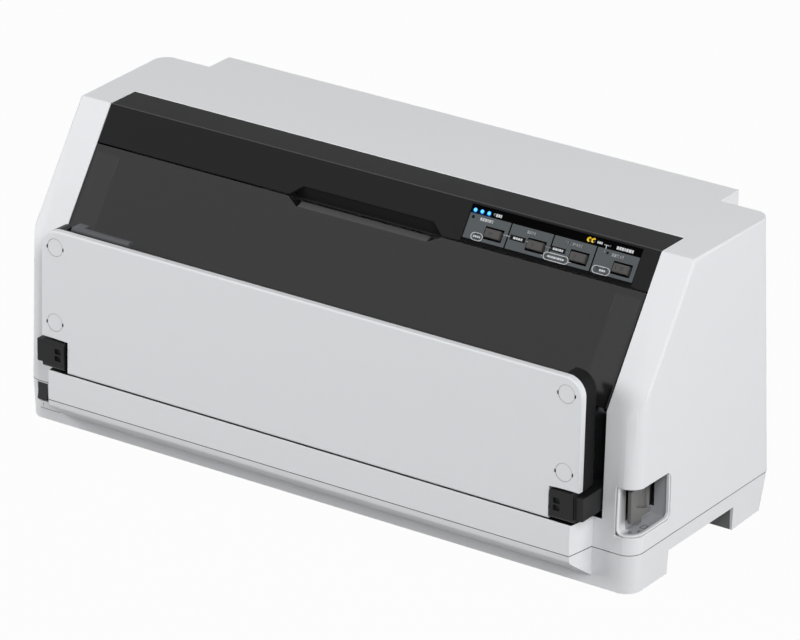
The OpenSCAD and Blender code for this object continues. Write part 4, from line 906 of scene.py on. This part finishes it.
class PRINTER_OT_front_guide(Operation):
    """Folding front guide with its edge guides and hinge blocks"""

    bl_idname = "printer.front_guide"
    bl_label = "Front Guide"

    def execute(self, context):
        to_guide = guide_matrix().inverted()

        def face_edge(a, b):
            flat = [to_guide @ (p * MM) / MM for p in (a, b)]
            at_cap = any(
                all(math.hypot(p.x - x, p.z - z) < CAP_CLEAR for p in flat) for x, z in cap_places()
            )
            return all(abs(p.y) < 0.3 and p.z > 2.5 for p in flat) and not at_cap

        bm = copy_of("front_guide_panel")
        round_off(bm, face_edge, sizes().guide_round, 4, 30.0)
        piece(bm, "guide_moulding", "front_guide", guide_plastic(), ("front_guide_panel",), sharp=40.0)
        black, white = black_plastic(), guide_plastic()
        softened("front_guide_tray", "guide_tray_moulding", "front_guide", black, BLOCK_ROUND, 2, EASED)
        softened("guide_caps", "cap_mouldings", "front_guide", white, CAP_ROUND, 2, EASED, 0.0)
        block = moulded("hinge_block_moulding", (0.009, 0.009, 0.0095), 0.38, Specular_IOR_Level=0.25)
        softened("hinge_brackets", "hinge_block_mouldings", "root", block, BLOCK_ROUND, 3, EASED)
        for node in ("left_edge_guide", "right_edge_guide"):
            softened(node, node + "_moulding", node, edge_guide_plastic(), sizes().small_round, 2, EASED)
        repaint(["guide_hinge_pins"], steel())
        ring_caps()
        return {"FINISHED"}


# ---------- lever corner ----------


def swept(bm, stations, section):
    """Carries a closed section along stations of (point, inward, outward), in millimetres."""

    def corners(station):
        point, inward, outward = station
        return [(point + inward * a + outward * b) * MM for a, b in section]

    first = [bm.verts.new(corner) for corner in corners(stations[0])]
    face = bm.faces.new(first)
    edges = list(face.edges)
    order = first
    for station in stations[1:]:
        made = bmesh.ops.extrude_edge_only(bm, edges=edges)["geom"]
        edges = [e for e in made if isinstance(e, bmesh.types.BMEdge)]
        fresh = [v for v in made if isinstance(v, bmesh.types.BMVert)]
        follow = {}
        for vert in fresh:
            for edge in vert.link_edges:
                other = edge.other_vert(vert)
                if other in order:
                    follow[order.index(other)] = vert
        order = [follow[i] for i in range(len(section))]
        for vert, corner in zip(order, corners(station)):
            vert.co = corner
    bmesh.ops.contextual_create(bm, geom=order)
    bmesh.ops.recalc_face_normals(bm, faces=bm.faces)


# the lever's recess: its left and rear walls, foot and top, the case's corner there and the rim's round
RECESS = {"x": 298.0, "foot": 52.5, "top": 96.5, "back": -46.5, "corner": 15.0, "round": 6.5}
# where its white inner cheek and its slot, painted black as shade, end
CHEEK_X, CHEEK_Y, SLOT_FOOT_Z = 301.8, -85.0, 60.0
# the rim's section, as inward and outward from the edge of the recess
RIM_INSET = 0.6
RIM_SECTION = ((0.0, -0.9), (0.3, -0.55), (1.3, -0.55), (1.6, -0.9), (1.6, -3.2), (0.0, -3.2))
# plain marks on the recess's floor: two opposite corners, x and y
RECESS_MARKS = (
    ((305.0, -92.0), (305.5, -86.5)), ((303.2, -89.6), (307.4, -89.1)),
    ((303.2, -87.2), (304.0, -86.4)), ((309.3, -84.5), (310.3, -80.5)),
    ((306.5, -76.5), (311.5, -76.0)), ((306.5, -70.0), (311.5, -69.5)),
    ((306.5, -76.5), (307.0, -69.5)), ((311.0, -76.5), (311.5, -69.5)),
)


def quarter_turn(steps):
    """Angles of a quarter turn, its two ends among them."""
    return [math.radians(90.0 * i / steps) for i in range(steps + 1)]


def recess_stations(inset):
    """Stations round the open sides of the lever recess, from its front top to its rear top."""
    x0, foot, back = RECESS["x"] + inset, RECESS["foot"] + inset, RECESS["back"] - inset
    r, top, corner = RECESS["round"], RECESS["top"] - 0.3, RECESS["corner"]
    front, right, up = Vector((0, -1, 0)), Vector((1, 0, 0)), Vector((0, 0, 1))
    stations = [(Vector((x0, front_wall_y(top), top)), right, front)]
    for turn in quarter_turn(6):
        x, z = x0 + r * (1 - math.cos(turn)), foot + r * (1 - math.sin(turn))
        inward = Vector((math.cos(turn), 0, math.sin(turn)))
        stations.append((Vector((x, front_wall_y(z), z)), inward, front))
    middle = Vector((SIDE_X - corner, front_wall_y(foot) + corner, foot))
    for turn in quarter_turn(8):
        outward = Vector((math.sin(turn), -math.cos(turn), 0))
        stations.append((middle + outward * corner, up, outward))
    for turn in quarter_turn(6):
        y, z = back - r + r * math.sin(turn), foot + r * (1 - math.cos(turn))
        inward = Vector((0, -math.sin(turn), math.cos(turn)))
        stations.append((Vector((SIDE_X, y, z)), inward, right))
    stations.append((Vector((SIDE_X, back, top)), -Vector((0, 1, 0)), right))
    return stations


def recess_walls(spot):
    """The recess's inner cheek in front is painted white, free of the liner's painted grey shade, and the
    slot behind it is painted black as shade.
    """
    cheek = spot.axis("X").below(CHEEK_X * MM)
    ahead = spot.axis("Y").below(CHEEK_Y * MM)
    slot = cheek * (1.0 - ahead) * spot.axis("Z").above(SLOT_FOOT_Z * MM)
    return ((cheek * ahead, (0.70, 0.71, 0.72, 1.0)), (slot, (0.004, 0.004, 0.004, 1.0)))


class PRINTER_OT_lever_corner(Operation):
    """Release lever, the liner and rim of its recess, and the power switch"""

    bl_idname = "printer.lever_corner"
    bl_label = "Lever Corner"

    def execute(self, context):
        liner = moulded("liner_moulding", tuple(colours().liner), 0.4, painted_shade_and_colour=recess_walls)
        softened("lever_bezel", "recess_liner", "root", liner, FINE_ROUND, 2, EASED)
        grey = moulded("lever_moulding", tuple(colours().lever), 0.35, Specular_IOR_Level=0.4)
        softened("release_lever", "lever_moulding", "release_lever", grey, sizes().small_round, 3, EASED)
        black = moulded("switch_moulding", (0.022, 0.022, 0.023), 0.4, Specular_IOR_Level=0.3)
        softened("power_switch", "switch_moulding", "power_switch", black, FINE_ROUND, 2, EASED)

        rim = bmesh.new()
        swept(rim, recess_stations(RIM_INSET), RIM_SECTION)
        piece(rim, "recess_rim", "root", white_plastic(), sharp=50.0)

        marks, foot = bmesh.new(), RECESS["foot"]
        for low, high in RECESS_MARKS:
            box_into(marks, (*low, foot - 0.2), (*high, foot + sizes().print_height / MM))
        piece(marks, "recess_marks", "root", dark_print_and_shade(), weighted=False)
        return {"FINISHED"}


# ---------- mechanism ----------


class PRINTER_OT_mechanism(Operation):
    """Frame, carriage, feed train, tractors and electronics"""

    bl_idname = "printer.mechanism"
    bl_label = "Mechanism"

    def execute(self, context):
        repaint(["left_side_frame", "right_side_frame", "paper_table", "rear_rail"], sheet_steel())
        repaint(["guide_shaft", "feed_roller_shaft", "tractor_drive_shaft", "tractor_support_shaft",
                 "case_screws", "motor_pulley", "idler_pulley"], steel())
        repaint(["platen_bar", "feed_roller_sleeves", "pinch_rollers", "timing_belt", "feet"],
                rubber("black_rubber", (0.02, 0.02, 0.02)))
        repaint(["ribbon_cartridge", "pinch_carrier", "left_tractor", "right_tractor", "interface_sockets",
                 "power_inlet"], black_plastic())
        repaint(["left_tractor_lid", "right_tractor_lid"], edge_guide_plastic())
        repaint(["carriage"], moulded("carriage_moulding", (0.10, 0.105, 0.11), 0.5))
        repaint(["ink_ribbon"], rubber("inked_fabric", (0.012, 0.012, 0.016)))
        repaint(["print_head", "carriage_motor", "feed_motor"],
                metal("dark_casting", (0.12, 0.12, 0.13), 0.5))
        repaint(["carriage_bushes", "shaft_bearings"],
                metal("sintered_bronze", (0.50, 0.34, 0.16), 0.45))
        repaint(["feed_pinion", "feed_gear", "idler_gear", "tractor_gear"],
                moulded("gear_acetal", (0.72, 0.70, 0.64), 0.35))
        repaint(["main_board", "power_supply"], circuit_board())
        return {"FINISHED"}


# ---------- stage ----------

CAMERA_AZIMUTH, CAMERA_ELEVATION, CAMERA_ROLL = (math.radians(v) for v in (34.3164, 23.5695, 0.5621))
CAMERA_PLACE = (2.6539, -3.8717, 2.1839)
LAMPS_AIM = (0.0, 0.0, 0.12)
FLOOR_SIZE = 30.0
# how much of the floor is plain white to the camera, and half sizes of the patch that isn't, in metres
FLOOR_GLOW, UNDER_X, UNDER_Y = 0.97, 0.280, 0.090
WHITE, SKY_COLOUR = (1.0, 1.0, 1.0, 1.0), (0.97, 0.98, 1.0, 1.0)


def camera_matrix():
    """The camera's place and aim, from its azimuth, elevation and roll."""
    az, el, roll = CAMERA_AZIMUTH, CAMERA_ELEVATION, CAMERA_ROLL
    back = Vector((math.sin(az) * math.cos(el), -math.cos(az) * math.cos(el), math.sin(el)))
    right = (-back).cross(Vector((0, 0, 1))).normalized()
    up = right.cross(-back)
    turned = right * math.cos(roll) + up * math.sin(roll)
    upright = up * math.cos(roll) - right * math.sin(roll)
    rows = Matrix((turned, upright, back)).transposed().to_4x4()
    return Matrix.Translation(CAMERA_PLACE) @ rows


def aimed(place, target):
    """A lamp's matrix, facing the target."""
    place, target = Vector(place), Vector(target)
    return Matrix.Translation(place) @ (place - target).to_track_quat("Z", "Y").to_matrix().to_4x4()


# name, place, size and power, in metres and watts
LAMPS = [
    ("key_lamp", (2.7, -2.5, 2.9), 1.8, 114.0),
    ("top_lamp", (0.1, 0.3, 3.4), 2.6, 2.0),
    ("right_lamp", (3.6, 0.5, 0.8), 2.2, 72.0),
    ("left_lamp", (-2.6, -2.5, 2.2), 2.0, 110.0),
    ("back_lamp", (-0.8, 3.8, 0.6), 2.0, 45.0),
]


def seen_rays(f):
    """1 where the camera, or a mirror or a pane that it looks at, sees the surface."""
    rays = ("Is Camera Ray", "Is Glossy Ray", "Is Transmission Ray")
    camera, glossy, through = (f.add("ShaderNodeLightPath", {}, {}, ray) for ray in rays)
    return camera.at_least(glossy.at_least(through))


def lay_floor(scene):
    """Pale floor that keeps the printer's shadow, and is plain where the printer stands."""
    floor = bmesh.new()
    bmesh.ops.create_grid(floor, x_segments=1, y_segments=1, size=FLOOR_SIZE)
    mesh = bpy.data.meshes.new("floor")
    floor.to_mesh(mesh)
    floor.free()
    obj = bpy.data.objects.new("floor", mesh)
    scene.collection.objects.link(obj)
    f = Finish("pale_floor", tuple(colours().floor), 0.9, Specular_IOR_Level=0.1)
    glow = f.add("ShaderNodeEmission", {}, {"Color": WHITE, "Strength": 1.0})
    spot = f.place()
    under = spot.axis("X").size().below(UNDER_X) * spot.axis("Y").size().below(UNDER_Y)
    factor = seen_rays(f) * (1.0 - under) * FLOOR_GLOW
    blend = f.add("ShaderNodeMixShader", {}, {0: factor, 1: Wire(f, f.shader.outputs[0]), 2: glow})
    f.links.new(blend.socket, f.nodes["Material Output"].inputs["Surface"])
    mesh.materials.append(f.material)


def hang_lamps(scene):
    for name, place, size, power in LAMPS:
        lamp = bpy.data.lights.new(name, "AREA")
        lamp.shape = "SQUARE"
        lamp.size = size
        lamp.energy = power
        obj = bpy.data.objects.new(name, lamp)
        obj.matrix_world = aimed(place, LAMPS_AIM)
        obj.visible_glossy = False
        scene.collection.objects.link(obj)


def surround(scene):
    """Faint light from all round, which the camera sees as white."""
    world = bpy.data.worlds.new("surroundings")
    world.use_nodes = True
    scene.world = world
    nodes, links = world.node_tree.nodes, world.node_tree.links
    path = nodes.new("ShaderNodeLightPath")
    seen = path.outputs["Is Camera Ray"]
    for ray in ("Is Glossy Ray", "Is Transmission Ray"):
        either = nodes.new("ShaderNodeMath")
        either.operation = "MAXIMUM"
        links.new(seen, either.inputs[0])
        links.new(path.outputs[ray], either.inputs[1])
        seen = either.outputs[0]
    both = nodes.new("ShaderNodeMixShader")
    links.new(seen, both.inputs[0])
    sky, seen_white = (SKY_COLOUR, stage_settings().sky), (WHITE, 1.0)
    for i, (colour, strength) in enumerate((sky, seen_white)):
        light = nodes.new("ShaderNodeBackground")
        light.inputs["Color"].default_value = colour
        light.inputs["Strength"].default_value = strength
        links.new(light.outputs[0], both.inputs[i + 1])
    links.new(both.outputs[0], nodes["World Output"].inputs["Surface"])


def place_camera(scene):
    lens = bpy.data.cameras.new("camera")
    lens.lens = stage_settings().lens
    lens.sensor_width = 36.0
    lens.clip_end = 100.0
    camera = bpy.data.objects.new("camera", lens)
    camera.matrix_world = camera_matrix()
    scene.collection.objects.link(camera)
    scene.camera = camera


class PRINTER_OT_stage(Operation):
    """Pale floor, soft lamps, white surroundings and the camera"""

    bl_idname = "printer.stage"
    bl_label = "Stage"

    def execute(self, context):
        scene = context.scene
        lay_floor(scene)
        hang_lamps(scene)
        surround(scene)
        scene.view_settings.view_transform = "Standard"
        place_camera(scene)
        return {"FINISHED"}


# ---------- add-on ----------

OPERATORS = (
    PRINTER_OT_stage,
    PRINTER_OT_upper_case,
    PRINTER_OT_lower_case,
    PRINTER_OT_control_strip,
    PRINTER_OT_covers,
    PRINTER_OT_front_guide,
    PRINTER_OT_lever_corner,
    PRINTER_OT_mechanism,
)


class PRINTER_PT_panel(bpy.types.Panel):
    """Lists the pieces of the printer"""

    bl_idname = "PRINTER_PT_panel"
    bl_label = "Printer"
    bl_space_type = "VIEW_3D"
    bl_region_type = "UI"
    bl_category = "Printer"

    def draw(self, context):
        for name, group in GROUPS.items():
            for key in group.__annotations__:
                self.layout.prop(getattr(context.scene, name), key)
        for operator in OPERATORS:
            self.layout.operator(operator.bl_idname)


GROUPS = {
    "printer_sizes": PrinterSizes,
    "printer_colours": PrinterColours,
    "printer_stage": StageSettings,
}
CLASSES = (*GROUPS.values(), *OPERATORS, PRINTER_PT_panel)


def register():
    for cls in CLASSES:
        bpy.utils.register_class(cls)
    for name, group in GROUPS.items():
        setattr(bpy.types.Scene, name, bpy.props.PointerProperty(type=group))


def unregister():
    for name in GROUPS:
        delattr(bpy.types.Scene, name)
    for cls in reversed(CLASSES):
        bpy.utils.unregister_class(cls)


def main():
    """Registers the add-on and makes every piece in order."""
    register()
    for operator in OPERATORS:
        prefix, name = operator.bl_idname.split(".")
        getattr(getattr(bpy.ops, prefix), name)()


if __name__ == "__main__":
    main()
